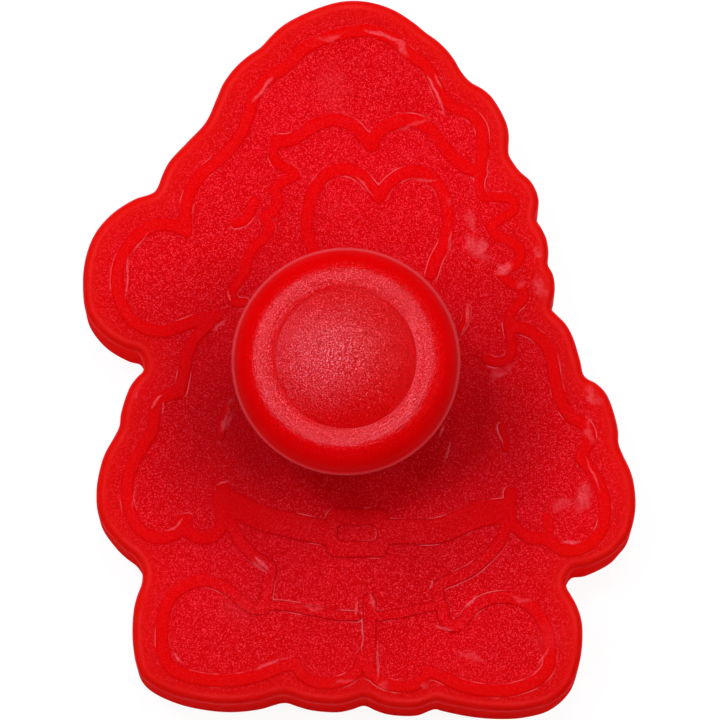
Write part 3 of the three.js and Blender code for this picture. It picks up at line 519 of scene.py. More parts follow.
class Build:
    """Collects vertices, faces and the attribute values of each vertex."""

    def __init__(self):
        self.points, self.faces, self.count = [], [], 0
        self.values = {name: [] for name in ATTRIBUTES}

    def add(self, points, **values):
        """Adds vertices; returns the index of the first."""
        first = self.count
        self.points.append(np.asarray(points, float))
        self.count += len(points)
        for name, store in self.values.items():
            store.append(np.full(len(points), values.get(name, 0.0), float))
        return first

    def centre(self, z, **values):
        return self.add([[AX, AY, z]], **values)

    def rings(self, profile, count, **values):
        """One circle round the axis for each (radius, z)."""
        return [self.add(lift(circle(r, count), z), **values) for r, z in profile]

    def skin(self, rings, count, flip=False):
        """Quads between successive rings; outward for counter-clockwise rings going down."""
        for a, b in zip(rings[:-1], rings[1:]):
            if flip:
                a, b = b, a
            for i in range(count):
                j = (i + 1) % count
                self.faces.append((b + i, b + j, a + j, a + i))

    def cap_ends(self, start, end, rings, count, flip=False):
        """Fans from two centre vertices to the first and last ring."""
        for i in range(count):
            j = (i + 1) % count
            if flip:
                i, j = j, i
            self.faces.append((start, rings[0] + j, rings[0] + i))
            self.faces.append((end, rings[-1] + i, rings[-1] + j))

    def fill(self, triangles, borders, first, flip=False):
        """Faces of a region: borders are (first index, count), its inner vertices the last."""
        spans = [np.arange(start, start + count) for start, count in borders]
        faces = np.concatenate(spans + [np.arange(first, self.count)])[triangles]
        self.faces.extend(map(tuple, (faces[:, ::-1] if flip else faces).tolist()))

    def flat(self, z, outer, hole, ring_start, hole_start, seed, flip=False):
        """Plain face between an outline ring and a circle."""
        V, F = region(outer, [hole], [], flat_points(3.0, outer, [hole], seed))
        first = self.add(lift(V[RING_N + SEGMENTS:], z), band=0.3)
        self.fill(F, [(ring_start, RING_N), (hole_start, SEGMENTS)], first, flip)

    def mesh(self, name):
        mesh = bpy.data.meshes.new(name)
        mesh.from_pydata((np.vstack(self.points) * MM).tolist(), [], self.faces)
        mesh.validate()
        for key, store in self.values.items():
            attribute = mesh.attributes.new(key, "FLOAT", "POINT")
            attribute.data.foreach_set("value", np.concatenate(store).astype(np.float32))
        mesh.polygons.foreach_set("use_smooth", [True] * len(mesh.polygons))
        mesh.update()
        return add_object(name, mesh)


def rounded(corners, steps):
    """Open profile from (r, z, fillet) corners, with support points beside each fillet."""
    P = [np.array(c[:2], float) for c in corners]
    out = [P[0]]
    for i in range(1, len(P) - 1):
        corner, fillet = P[i], corners[i][2]
        u, v = P[i - 1] - corner, P[i + 1] - corner
        length_u, length_v = np.linalg.norm(u), np.linalg.norm(v)
        u, v = u / length_u, v / length_v
        angle = math.acos(float(np.clip(u @ v, -1, 1)))
        if fillet <= 0 or angle > math.pi - 0.02:
            out.append(corner)
            continue
        t = min(fillet / math.tan(angle / 2), 0.46 * length_u, 0.46 * length_v)
        radius = t * math.tan(angle / 2)
        centre = corner + (u + v) / np.linalg.norm(u + v) * (radius / math.sin(angle / 2))
        p0, p1 = corner + u * t, corner + v * t
        a0 = math.atan2(*(p0 - centre)[::-1])
        a1 = math.atan2(*(p1 - centre)[::-1])
        sweep = (a1 - a0 + math.pi) % (2 * math.pi) - math.pi
        support = min(0.06, 0.2 * t)
        out.append(p0 + u * support)
        for k in range(steps + 1):
            q = a0 + sweep * k / steps
            out.append(centre + radius * np.array([math.cos(q), math.sin(q)]))
        out.append(p1 + v * support)
    out.append(P[-1])
    return np.array(out)


def lathe(name, profile, segments, closed=True):
    """Solid turned about the plunger axis. An open profile starts and ends on the axis."""
    P = np.array(profile, float)
    r, z = P[:, 0], P[:, 1]
    if np.sum(r * np.roll(z, -1) - np.roll(r, -1) * z) < 0:
        P = P[::-1]
    part = Build()
    if closed:
        rings = part.rings(P, segments)
        part.skin(rings + rings[:1], segments, flip=True)
    else:
        start = part.centre(P[0][1])
        rings = part.rings(P[1:-1], segments)
        end = part.centre(P[-1][1])
        part.skin(rings, segments, flip=True)
        part.cap_ends(start, end, rings, segments)
    return part.mesh(name)


# ---------------------------------------------------------------- cutter body

COLLAR_R, COLLAR_BORE = 7.0, 5.8
COLLAR_LIP = 0.35
COLLAR_FOOT = 1.1       # fillet onto the top plate
COLLAR_FLARE_R = 8.3    # where the foot meets the flat face
HOLE_R = 3.75           # plunger hole in the top plate
HOLE_EDGE_R = 4.05

# (distance from a line's edge, mesh spacing) of the loops that shape the raised lines
TOP_LOOPS = ((0.36, 0.42), (0.19, 0.34), (0.10, 0.3), (0.03, 0.3), (-0.04, 0.3), (-0.11, 0.3),
             (-0.20, 0.34), (-0.36, 0.42))
# cross-section of a raised line: distance from its edge, share of its height
TOP_SECTION = ([-0.30, -0.20, -0.11, -0.04, 0.03, 0.10, 0.19, 0.30],
               [1.0, 0.985, 0.90, 0.66, 0.34, 0.10, 0.015, 0.0])


def wall_profile():
    """(inset, z, band) from the top rim down the outside, round the cutting edge and up."""
    profile = [(RIM_R * (1 - s), TOP_Z - RIM_R * (1 - c), 0.15 + 0.85 * (k / 8))
               for k, (s, c) in enumerate(quarter(8))]
    profile += [(inset, z, 1.0) for inset, z in (
        (0.0, TOP_Z - 1.1), (-0.03, 12.5), (-0.07, 9.5), (-0.11, 6.5), (-0.145, 4.0),
        (-0.165, 2.3), (-0.155, 2.05), (-0.11, 1.82), (-0.04, 1.6), (0.32, 0.80), (0.62, 0.20),
        (0.67, 0.09), (0.73, 0.02), (0.82, 0.0), (1.5, 0.0), (1.56, 0.02), (WALL_T, 0.09),
        (WALL_T, 0.2), (WALL_T, 3.0), (WALL_T, 6.0), (WALL_T, 9.0), (WALL_T, 12.0),
        (WALL_T, CEILING_Z - 0.75))]
    profile += [(WALL_T + 0.6 * (1 - c), CEILING_Z - 0.6 * (1 - s), 0.6)
                for s, c in quarter(5, first=1)]
    return profile


def collar_profile():
    """(r, z) from the top face up the collar, over its lip and down through the hole."""
    lip_z = COLLAR_TOP - COLLAR_LIP
    profile = [(COLLAR_FLARE_R, TOP_Z), (COLLAR_R + COLLAR_FOOT, TOP_Z + 0.004)]
    profile += [(COLLAR_R + COLLAR_FOOT * (1 - s), TOP_Z + COLLAR_FOOT * (1 - c))
                for s, c in quarter(7, first=1)]
    profile += [(COLLAR_R, z) for z in (TOP_Z + 1.2, 20.0, 24.0, COLLAR_TOP - 0.42)]
    profile += [(COLLAR_R - COLLAR_LIP + COLLAR_LIP * c, lip_z + COLLAR_LIP * s)
                for s, c in quarter(5, first=1)]
    profile += [(COLLAR_BORE + COLLAR_LIP - COLLAR_LIP * s, lip_z + COLLAR_LIP * c)
                for s, c in quarter(5)]
    return profile + [
        (COLLAR_BORE, COLLAR_TOP - 0.5), (COLLAR_BORE, 20.0), (COLLAR_BORE, TOP_Z + 0.4),
        (5.74, TOP_Z + 0.12), (5.5, TOP_Z), (HOLE_EDGE_R, TOP_Z), (3.84, TOP_Z - 0.08),
        (HOLE_R, TOP_Z - 0.3), (HOLE_R, CEILING_Z + 0.3), (3.84, CEILING_Z + 0.08),
        (HOLE_EDGE_R, CEILING_Z)]


def add_top_face(part, ring_start, collar_start):
    """Upper face of the top plate with its raised lines."""
    outer = ring(RIM_R)
    hole = circle(COLLAR_FLARE_R, SEGMENTS)
    loops = contour_loops(PATTERN, TOP_LOOPS) + [ring(RIM_R + 0.38)]
    points = flat_points(1.3, outer, [hole], seed=3, field=PATTERN)
    V, F = region(outer, [hole], loops, points)
    V = V[RING_N + SEGMENTS:]
    d = sample_grid(PATTERN, V)
    near = nearest(V, OUTLINE_POINTS)
    first = part.add(
        lift(V, TOP_Z + np.interp(d, *TOP_SECTION) * LINE_H),
        band=np.interp(d, [-0.12, 0.14], [1.0, 0.0]),
        edge=np.exp(-np.maximum(near - RIM_R, 0) / 1.8),
        line=np.interp(d, [-0.12, -0.04, 0.03, 0.11], [0.0, 1.0, 1.0, 0.0]),
        glint=np.interp(d, [0.03, 0.10, 0.19], [0.0, 1.0, 0.0]),
        lip=np.clip(1 - np.abs(near - RIM_R - 0.02) / 0.34, 0, 1))
    part.fill(F, [(ring_start, RING_N), (collar_start, SEGMENTS)], first)


def make_cutter_body():
    part = Build()
    wall = []
    for inset, z, band in wall_profile():
        # edge paints a glow of light through the plastic, full above z = 9 mm; lip paints a
        # highlight on the rim's corner
        on_rim = z > 15 and inset <= RIM_R
        lip = float(np.interp(inset, [0.55, 1.0], [0.0, 1.0])) if on_rim else 0.0
        wall.append(part.add(lift(ring(inset), z), band=band, edge=1.0 if z > 9 else 0.5,
                             lip=lip))
    part.skin(wall, RING_N)
    collar = part.rings(collar_profile(), SEGMENTS, band=0.55)
    part.skin(collar, SEGMENTS, flip=True)
    add_top_face(part, wall[0], collar[0])
    part.flat(CEILING_Z, ring(WALL_T + 0.6), circle(HOLE_EDGE_R, SEGMENTS), wall[-1],
              collar[-1], seed=4, flip=True)
    return part.mesh("cutter_body_shell")


# ---------------------------------------------------------------- embossing plate

STAMP_INSET = WALL_T + 0.4
STAMP_TOP_R, STAMP_BOTTOM_R = 0.3, 0.25    # rounding of its rims
LINE_THINNING = 0.2                        # the ridges are this much slimmer on each side

# socket on the upper face: radius, height above the plate
SOCKET = [
    (8.9, 0), (8.65, 0.05), (8.5, 0.3), (8.5, 1.75), (8.4, 2.0), (8.15, SOCKET_H),
    (6.45, SOCKET_H), (6.2, 2.0), (6.1, 1.8), (6.12, 1.62), (6.3, 1.52), (6.68, 1.5),
    (6.75, 1.4), (6.75, 0.25), (6.6, 0.02), (6.4, 0),
]
STAMP_LOOPS = ((0.4, 0.5), (0.2, 0.42), (0.07, 0.38), (0.0, 0.36), (-0.07, 0.36),
               (-0.15, 0.38), (-0.27, 0.42))
# cross-section of a ridge: distance from its edge, share of its depth
STAMP_SECTION = ([-0.29, -0.2, -0.12, -0.04, 0.05, 0.12, 0.22, 0.34],
                 [-1.0, -0.985, -0.92, -0.72, -0.2, -0.07, -0.015, 0.0])


def add_ridges(part, ring_start):
    """Lower face with the line pattern standing out downwards."""
    field = PATTERN + LINE_THINNING
    outer = ring(STAMP_INSET + STAMP_BOTTOM_R)
    points = flat_points(1.6, outer, [], seed=6, field=field)
    V, F = region(outer, [], contour_loops(field, STAMP_LOOPS), points)
    V = V[RING_N:]
    d = sample_grid(field, V)
    depth = np.interp(d, *STAMP_SECTION) * (STAMP_BOTTOM - RIDGE_TIP)
    first = part.add(lift(V, STAMP_BOTTOM + depth), band=np.interp(d, [-0.1, 0.1], [0.9, 0.2]))
    part.fill(F, [(ring_start, RING_N)], first, flip=True)


def make_embossing_plate():
    part = Build()
    profile = [(STAMP_INSET + STAMP_TOP_R * (1 - s), STAMP_TOP - STAMP_TOP_R * (1 - c), 0.5)
               for s, c in quarter(5)]
    profile += [(STAMP_INSET, STAMP_TOP - 0.8, 0.6)]
    profile += [(STAMP_INSET + STAMP_BOTTOM_R * (1 - c),
                 STAMP_BOTTOM + STAMP_BOTTOM_R * (1 - s), 0.5) for s, c in quarter(4)]
    rim = [part.add(lift(ring(inset), z), band=band) for inset, z, band in profile]
    part.skin(rim, RING_N)
    socket = part.rings([(r, STAMP_TOP + up) for r, up in SOCKET], SEGMENTS, band=0.4)
    part.skin(socket, SEGMENTS, flip=True)
    floor_centre = part.centre(STAMP_TOP, band=0.4)
    for i in range(SEGMENTS):
        part.faces.append((floor_centre, socket[-1] + i, socket[-1] + (i + 1) % SEGMENTS))
    part.flat(STAMP_TOP, ring(STAMP_INSET + STAMP_TOP_R), circle(SOCKET[0][0], SEGMENTS),
              rim[0], socket[0], seed=5)
    add_ridges(part, rim[-1])
    return part.mesh("embossing_plate_fine")


# ---------------------------------------------------------------- knob, stem, spring, screw


def make_knob_base():
    """Tube that flares out to the seam, with a web holding the screw boss."""
    bottom = cad_bottom("knob_base")
    web = 36.0
    tube_r, bore_r = 9.0, 7.4
    boss_top, stem_seat = STEM_TOP + 1.25, STEM_TOP + 0.05
    seam = KNOB_SPLIT
    flare = catmull([(8.99, 27.0), (9.05, 27.7), (9.4, 28.6), (10.4, 29.9), (11.9, 31.2),
                     (13.1, 32.2), (13.45, seam - 0.16)], steps=6)
    inner = rounded([
        (13.43, seam - 0.1, 0), (12.9, seam - 0.08, 0.05), (12.75, seam + 1.6, 0.2),
        (11.6, seam + 1.6, 0.2), (11.6, 32.6, 0.5), (10.6, 31.5, 1.0), (tube_r, 30.6, 0.4),
        (tube_r, web + 1.0, 0)], steps=5)
    lower = rounded([
        (tube_r, web + 1.4, 0), (3.2, web + 1.4, 0.2), (3.2, boss_top, 0.15),
        (1.8, boss_top, 0.05), (1.8, stem_seat, 0.05), (4.1, stem_seat, 0.3), (4.1, web, 0.4),
        (bore_r, web, 0.5), (bore_r, bottom, 0.3), (tube_r, bottom, 0.35), (tube_r, 26.6, 0)],
        steps=6)
    return lathe("knob_base_fine", np.vstack([flare, inner, lower]), 144)


def make_knob_shell():
    """Rounded shell; its crown slopes slightly in to the opening for the button."""
    bottom = KNOB_SPLIT
    radius, shoulder_r, shoulder_z = 14.75, 3.7, 36.6
    crown = shoulder_z + shoulder_r

    def below_crown(stations):
        return [(r, crown - drop) for r, drop in stations]

    side = catmull([(13.62, bottom + 0.07), (14.15, 33.8), (14.55, 35.1), (14.72, 36.1),
                    (radius, shoulder_z)], steps=5)[:-1]
    shoulder = [(radius - shoulder_r * (1 - math.cos(q)), shoulder_z + shoulder_r * math.sin(q))
                for q in np.radians(np.arange(0, 91, 5))]
    crest = catmull(below_crown([(radius - shoulder_r, 0), (10.7, 0.004), (10.3, 0.016),
                                 (10.17, 0.022)]), steps=3)[1:]
    groove = below_crown([(10.13, 0.034), (10.1, 0.040), (10.07, 0.036), (10.03, 0.032)])
    lip = catmull(below_crown([(9.9, 0.041), (9.6, 0.068), (9.35, 0.102), (9.16, 0.134),
                               (9.11, 0.142)]), steps=3)
    edge = below_crown([(9.09, 0.145), (9.08, 0.1465), (9.076, 0.147), (9.075, 0.150)])
    inner = rounded([
        (9.075, 40.10, 0), (9.075, 38.9, 0.1), (7.7, 38.9, 0.1), (7.7, 38.0, 0.1),
        (10.2, 38.0, 0.8), (11.9, 37.2, 1.0), (12.8, 35.8, 1.5), (13.0, 34.3, 0.4),
        (13.0, bottom, 0.05), (13.55, bottom, 0)], steps=4)
    return lathe("knob_shell_fine",
                 np.vstack([side, shoulder, crest, groove, lip, edge, inner]), 176)


def make_thumb_cap():
    """Domed button with a skirt below it."""
    dome_r = 37.8
    radius = 9.065

    def dome(r):
        return KNOB_TOP - (dome_r - math.sqrt(dome_r * dome_r - r * r))

    rim = rounded([
        (0, 39.3, 0), (6.3, 39.0, 0.2), (6.3, 38.2, 0.1), (7.5, 38.2, 0.15), (7.5, 38.95, 0.1),
        (radius, 38.95, 0.1), (radius, 40.0, 0)], steps=4)
    edge = [(radius, dome(radius) - 0.004), (9.063, dome(9.063) - 0.001)]
    top = [(r, dome(r)) for r in (9.055, 9.03, 8.95, 8.85, 8.5, 8.0, 7.4, 6.8, 6.1, 5.4, 4.7,
                                  4.0, 3.3, 2.6, 1.9, 1.2, 0.5, 0.0)]
    return lathe("thumb_cap_fine", np.vstack([rim, edge, top]), 160, closed=False)


def make_stem():
    """Stem with a foot disc and a screw hole in its top."""
    bottom = cad_bottom("plunger_stem")
    foot_r, stem_r, screw_hole_r = 6.5, 3.5, 1.65
    corners = [
        (0, bottom, 0), (foot_r, bottom, 0.35), (foot_r, bottom + 1.3, 0.3),
        (4.3, bottom + 1.3, 0), (stem_r, bottom + 1.9, 0.5), (stem_r, STEM_TOP, 0.4),
        (screw_hole_r, STEM_TOP, 0.15), (screw_hole_r, 23.6, 0.2), (0, 22.8, 0)]
    return lathe("plunger_stem_fine", rounded(corners, steps=5), 96, closed=False)


def make_spring():
    """Coil spring whose first and last turns lie nearly closed."""
    turns, steps_per_turn, sides = 8, 44, 16
    wire_r, coil_r = 0.45, 4.7
    low, high = SPRING_BOTTOM + wire_r, SPRING_TOP - wire_r
    end_rise = 2 * wire_r * 1.06
    pitch = (high - low - 2 * end_rise) / (turns - 2)
    t = np.linspace(0, turns, turns * steps_per_turn + 1)
    z = low + end_rise + (t - 1) * pitch
    z = np.where(t < 1, low + end_rise * t, z)
    z = np.where(t > turns - 1, high - end_rise * (turns - t), z)
    eased = np.convolve(np.pad(z, 4, mode="edge"), np.ones(9) / 9, "valid")
    eased[0], eased[-1] = z[0], z[-1]
    a = t * 2 * math.pi
    centres = np.stack([AX + coil_r * np.cos(a), AY + coil_r * np.sin(a), eased], -1)
    tangent = np.gradient(centres, axis=0)
    tangent /= np.linalg.norm(tangent, axis=1)[:, None]
    radial = np.stack([np.cos(a), np.sin(a), np.zeros_like(a)], -1)
    part = Build()
    q = np.arange(sides) * 2 * math.pi / sides
    rings = [part.add(c + wire_r * (np.cos(q)[:, None] * r + np.sin(q)[:, None] * u))
             for c, r, u in zip(centres, radial, np.cross(tangent, radial))]
    part.skin(rings, sides)
    start = part.add([centres[0]])
    end = part.add([centres[-1]])
    part.cap_ends(start, end, rings, sides, flip=True)
    spring = part.mesh("return_spring_fine")
    bm = bmesh.new()
    bm.from_mesh(spring.data)
    bmesh.ops.recalc_face_normals(bm, faces=bm.faces)
    bm.to_mesh(spring.data)
    bm.free()
    return spring


def cut_cross_recess(screw, head_z):
    """Cuts two crossed, tapering slots into the screw's head."""
    half_length, half_width = 1.45, 0.34
    levels = ((half_length * 0.55, half_width * 0.7, head_z + 0.55),
              (half_length, half_width, head_z + 2.4))
    bm = bmesh.new()
    for turn in (0, 90):
        rotation = Matrix.Rotation(math.radians(turn), 4, "Z")
        corners = []
        for half_l, half_w, z in levels:
            for sx, sy in ((-1, -1), (1, -1), (1, 1), (-1, 1)):
                p = rotation @ Vector((sx * half_l, sy * half_w, 0))
                corners.append(bm.verts.new(((AX + p.x) * MM, (AY + p.y) * MM, z * MM)))
        bm.faces.new(corners[:4][::-1])
        bm.faces.new(corners[4:])
        for i in range(4):
            j = (i + 1) % 4
            bm.faces.new((corners[i], corners[j], corners[4 + j], corners[4 + i]))
    mesh = bpy.data.meshes.new("recess_tool")
    bm.to_mesh(mesh)
    bm.free()
    tool = add_object("recess_tool", mesh)
    cut = screw.modifiers.new("recess", "BOOLEAN")
    cut.operation = "DIFFERENCE"
    cut.solver = "EXACT"
    cut.use_self = True
    cut.object = tool
    bpy.context.view_layer.update()
    depsgraph = bpy.context.evaluated_depsgraph_get()
    result = bpy.data.meshes.new_from_object(screw.evaluated_get(depsgraph))
    screw.modifiers.clear()
    screw.data = result
    bpy.data.objects.remove(tool)


def make_screw():
    """Pan head with a cross recess over a coarse thread."""
    bottom = cad_bottom("knob_screw")
    head_z = STEM_TOP + 1.3
    segments = 60
    pitch, tip_r, core_r, thread_h = 1.15, 0.35, 1.02, 0.46
    head_r, side_h, dome_w, dome_h = 2.75, 0.8, 1.5, 1.05
    turn = np.arange(segments) * 2 * math.pi / segments / (2 * math.pi)
    part = Build()
    tip = part.centre(bottom)
    rings = []
    for z in np.arange(bottom + 0.35, head_z - 0.5, 0.075):
        phase = ((z - bottom) / pitch - turn) % 1.0
        ridge = np.clip(1 - np.abs(phase - 0.5) / 0.22, 0, 1)
        fade = min(1.0, (z - bottom) / 2.0) * min(1.0, (head_z - 0.4 - z) / 0.8)
        core = tip_r + (core_r - tip_r) * min(1.0, (z - bottom) / 1.4)
        rings += part.rings([(core + thread_h * ridge * fade, z)], segments)
    head = [(1.25, head_z - 0.35), (1.35, head_z - 0.06), (1.6, head_z), (2.6, head_z),
            (2.73, head_z + 0.05), (head_r, head_z + 0.2), (head_r, head_z + side_h)]
    for k in range(1, 9):
        q = math.radians(72 * k / 8)
        head.append((head_r - dome_w * (1 - math.cos(q)),
                     head_z + side_h + dome_h * math.sin(q)))
    rings += part.rings(head, segments)
    top = part.centre(head[-1][1] + 0.16)
    part.skin(rings, segments, flip=True)
    part.cap_ends(tip, top, rings, segments)
    screw = part.mesh("knob_screw_fine")
    cut_cross_recess(screw, head_z)
    for polygon in screw.data.polygons:
        polygon.use_smooth = True
    screw.data.set_sharp_from_angle(angle=math.radians(38))
    return screw


body = make_cutter_body()
stamp = make_embossing_plate()
knob_base = make_knob_base()
knob_shell = make_knob_shell()
thumb_cap = make_thumb_cap()
stem = make_stem()
spring = make_spring()
screw = make_screw()

# ---------------------------------------------------------------- shader helpers


class Signal:
    """A node's output; +, - and * on it add Math nodes."""

    def __init__(self, shader, socket):
        self.shader, self.socket = shader, socket

    def __add__(self, other):
        return self.shader.math("ADD", self, other)

    def __radd__(self, other):
        return self.shader.math("ADD", other, self)

    def __sub__(self, other):
        return self.shader.math("SUBTRACT", self, other)

    def __rsub__(self, other):
        return self.shader.math("SUBTRACT", other, self)

    def __mul__(self, other):
        return self.shader.math("MULTIPLY", self, other)


class Shader:
    """Builds the node tree of a material or world."""

    def __init__(self, owner):
        self.owner = owner
        owner.use_nodes = True
        self.tree = owner.node_tree
        self.tree.nodes.clear()

    def node(self, kind, inputs=None, **settings):
        node = self.tree.nodes.new(kind)
        for key, value in settings.items():
            setattr(node, key, value)
        for key, value in (inputs or {}).items():
            if isinstance(value, Signal):
                self.tree.links.new(value.socket, node.inputs[key])
            else:
                node.inputs[key].default_value = value
        return node

    def signal(self, kind, output=0, inputs=None, **settings):
        return Signal(self, self.node(kind, inputs, **settings).outputs[output])

    def place(self):
        return self.signal("ShaderNodeTexCoord", "Object")

    def attribute(self, name):
        return self.signal("ShaderNodeAttribute", "Fac", attribute_name=name)

    def facing(self):
        return self.signal("ShaderNodeLayerWeight", "Facing", {"Blend": 0.5})

    def separate(self, vector):
        """The x, y and z of a vector."""
        node = self.node("ShaderNodeSeparateXYZ", {0: vector})
        return [Signal(self, socket) for socket in node.outputs]

    def math(self, operation, a, b=0.0, clamp=False):
        return self.signal("ShaderNodeMath", 0, {0: a, 1: b}, operation=operation,
                           use_clamp=clamp)

    def vector(self, operation, a, b=None, output="Vector"):
        inputs = {0: a}
        if b is not None:
            inputs["Scale" if operation == "SCALE" else 1] = b
        return self.signal("ShaderNodeVectorMath", output, inputs, operation=operation)

    def noise(self, vector, scale, detail, roughness=0.5, output="Fac"):
        return self.signal("ShaderNodeTexNoise", output, {
            "Vector": vector, "Scale": scale, "Detail": detail, "Roughness": roughness})

    def ramp(self, value, between, to=(0.0, 1.0)):
        """Smooth step of the value from one range to another."""
        return self.signal("ShaderNodeMapRange", "Result", {
            "Value": value, "From Min": between[0], "From Max": between[1],
            "To Min": to[0], "To Max": to[1]}, interpolation_type="SMOOTHSTEP", clamp=True)

    def tint(self, base, colour, amount):
        """The base mixed towards a colour."""
        a, b = (c if isinstance(c, Signal) else (*c, 1.0) for c in (base, colour))
        return self.signal("ShaderNodeMix", 2, {0: amount, 6: a, 7: b}, data_type="RGBA")

    def grained(self, base, grain, pale, pale_amount, dark, dark_amount, dark_strength):
        """Pale and dark specks of the fine grain."""
        light = self.ramp(grain, between=(0.50, 0.74)) * pale_amount
        base = self.tint(base, pale, light * 0.90)
        shade = self.ramp(grain, between=(0.50, 0.28)) * dark_amount
        return self.tint(base, dark, shade * dark_strength)

    def ellipse(self, vector, x, y, half, turn=0.0):
        """Distance from a point of the plate, 1 on an ellipsoid; half sizes in mm."""
        mapped = self.signal("ShaderNodeMapping", 0, {
            "Location": (x * MM, y * MM, TOP_Z * MM),
            "Rotation": (0, 0, math.radians(turn)),
            "Scale": tuple(h * MM for h in half),
            "Vector": vector}, vector_type="TEXTURE")
        return self.vector("LENGTH", mapped, output="Value")

    def bump(self, height, strength, distance, normal=None):
        inputs = {"Height": height, "Strength": strength, "Distance": distance}
        if normal is not None:
            inputs["Normal"] = normal
        return self.signal("ShaderNodeBump", "Normal", inputs)

    def finish(self, **inputs):
        """Principled surface and material output."""
        named = {key.replace("_", " "): value for key, value in inputs.items()}
        surface = self.signal("ShaderNodeBsdfPrincipled", 0, named)
        self.node("ShaderNodeOutputMaterial", {0: surface})
        # only there when the Cycles add-on is loaded
        if hasattr(self.owner, "cycles"):
            self.owner.cycles.emission_sampling = "NONE"
        return self.owner


def new_material(name):
    return Shader(bpy.data.materials.new(name))


# ---------------------------------------------------------------- plate material

# worn, whitened spots on the plate: x, y, length, width (mm), turn (degrees), strength
SCUFFS = [
    (15.6, 14.0, 4.5, 2.37, -60, 0.45), (14.7, 17.7, 3.2, 1.58, -70, 0.29),
    (19.3, 11.0, 2.6, 1.18, 25, 0.61), (21.4, 9.0, 2.4, 1.18, -40, 0.33),
    (24.1, 8.7, 2.9, 1.58, -80, 0.33), (11.8, 20.1, 2.0, 0.79, -80, 0.29),
    (23.9, 13.6, 1.3, 0.79, 0, 0.33), (31.0, -5.9, 3.3, 1.58, -50, 0.45),
    (30.5, -10.4, 3.9, 1.18, -80, 0.37), (29.5, -19.0, 3.9, 1.97, 60, 0.45),
    (26.7, -20.2, 2.9, 1.58, 30, 0.25), (18.8, -2.8, 3.3, 1.71, 40, 0.25),
    (-5.9, -33.5, 2.6, 0.79, 15, 0.37), (-1.9, -43.6, 2.9, 0.53, 15, 0.33),
    (1.8, -33.1, 2.6, 0.66, -55, 0.57), (5.5, 40.8, 2.4, 1.05, -55, 0.49),
    (-3.6, 42.1, 3.9, 0.66, 22, 0.33), (11.5, 32.2, 1.3, 0.53, -40, 0.49),
    (7.5, 30.8, 3.9, 0.79, 30, 0.33), (21.4, -32.4, 3.7, 0.92, -15, 0.25),
    (14.9, -40.1, 4.2, 0.79, -15, 0.25), (3.1, -43.8, 1.6, 0.79, 20, 0.37),
    (8.1, -43.5, 1.3, 0.79, -20, 0.37), (-17.5, -9.1, 5.0, 1.32, 75, 0.34),
    (-28.8, -5.4, 1.6, 0.66, 60, 0.33), (-18.4, 3.6, 2.0, 0.53, 35, 0.41),
    (-3.3, 35.2, 5.5, 7.90, 20, 0.06), (-16.1, -34.0, 6.6, 4.74, 10, 0.06),
    (-3.6, 19.3, 3.4, 1.58, 30, 0.07), (24.7, -37.9, 5.8, 3.95, 20, 0.06),
]
# fine hairline scratches, and painted glints along some line edges, same columns
HAIRS_AND_GLINTS = [
    (12.0, 14.8, 3.9, 0.39, 80, 0.40), (14.4, 5.2, 2.4, 0.53, 85, 0.45),
    (13.8, 3.1, 2.0, 0.39, 70, 0.35), (10.8, -10.4, 2.0, 0.39, 65, 0.60),
    (11.8, -12.9, 3.2, 0.39, 70, 0.45), (18.6, -11.1, 2.4, 0.32, -75, 0.50),
    (27.9, -25.1, 2.6, 0.39, 0, 0.60), (30.9, -16.2, 4.7, 0.34, -65, 0.50),
    (-12.9, -28.3, 2.4, 0.39, -40, 0.55), (-23.7, -40.2, 2.0, 0.34, -60, 0.60),
    (-12.0, -41.1, 3.7, 0.39, 25, 0.45), (14.7, -32.9, 2.1, 0.45, 45, 0.65),
    (9.5, -30.6, 1.2, 0.39, 80, 0.60), (11.2, -36.2, 2.6, 0.39, -20, 0.45),
    (-0.2, -33.7, 2.4, 0.34, 88, 0.50), (2.5, -40.8, 5.3, 0.39, 88, 0.40),
    (0.6, -37.4, 4.5, 0.26, 88, 0.45), (24.2, -40.1, 3.2, 0.34, 65, 0.40),
    (3.4, 42.4, 6.3, 0.53, -18, 0.55), (-12.7, 35.2, 4.2, 0.53, 52, 0.60),
    (10.2, 34.8, 5.3, 0.45, -65, 0.75), (10.6, 36.2, 2.4, 0.39, -70, 0.50),
    (8.8, 23.1, 3.4, 0.39, -5, 0.40), (0.8, 22.1, 3.7, 0.34, -50, 0.45),
    (-17.2, 7.5, 1.7, 0.32, -70, 0.50), (-30.7, 10.1, 6.1, 0.26, 88, 0.55),
    (-28.8, 14.7, 3.7, 0.26, 48, 0.45), (-26.7, -6.4, 2.4, 0.39, 50, 0.60),
    (-25.8, -7.3, 1.6, 0.34, 80, 0.55), (-17.8, -17.2, 2.0, 0.32, 20, 0.45),
    (-12.6, -27.9, 2.6, 0.39, -45, 0.60), (-24.0, -22.7, 2.4, 0.34, 45, 0.50),
    (-29.5, -19.0, 3.4, 0.26, 85, 0.35),
]
# marks, warp (m), raggedness, distance where a mark starts, distance where it is full
MARK_SETS = ((SCUFFS, 0.0030, 2.2, 1.3, 0.1), (HAIRS_AND_GLINTS, 0.0012, 0.9, 1.2, 0.5))

# soft patches of painted shade: x, y from the plunger axis, half sizes along x and y (mm),
# strength
SHADOWS = [
    (18.6, -3.9, 7.5, 14.5, 0.50), (-15.4, -4.0, 9.5, 14.5, 0.62), (0.0, 12.0, 14.0, 9.0, 0.28),
    (0.0, -11.5, 11.0, 8.0, 0.22), (0.0, -18.0, 17.0, 7.0, 0.16),
    (0.0, -43.0, 32.0, 13.0, 0.16),
]
COAT_PATCH = (3.0, -28.0, 22.0, 12.0, 1.35)


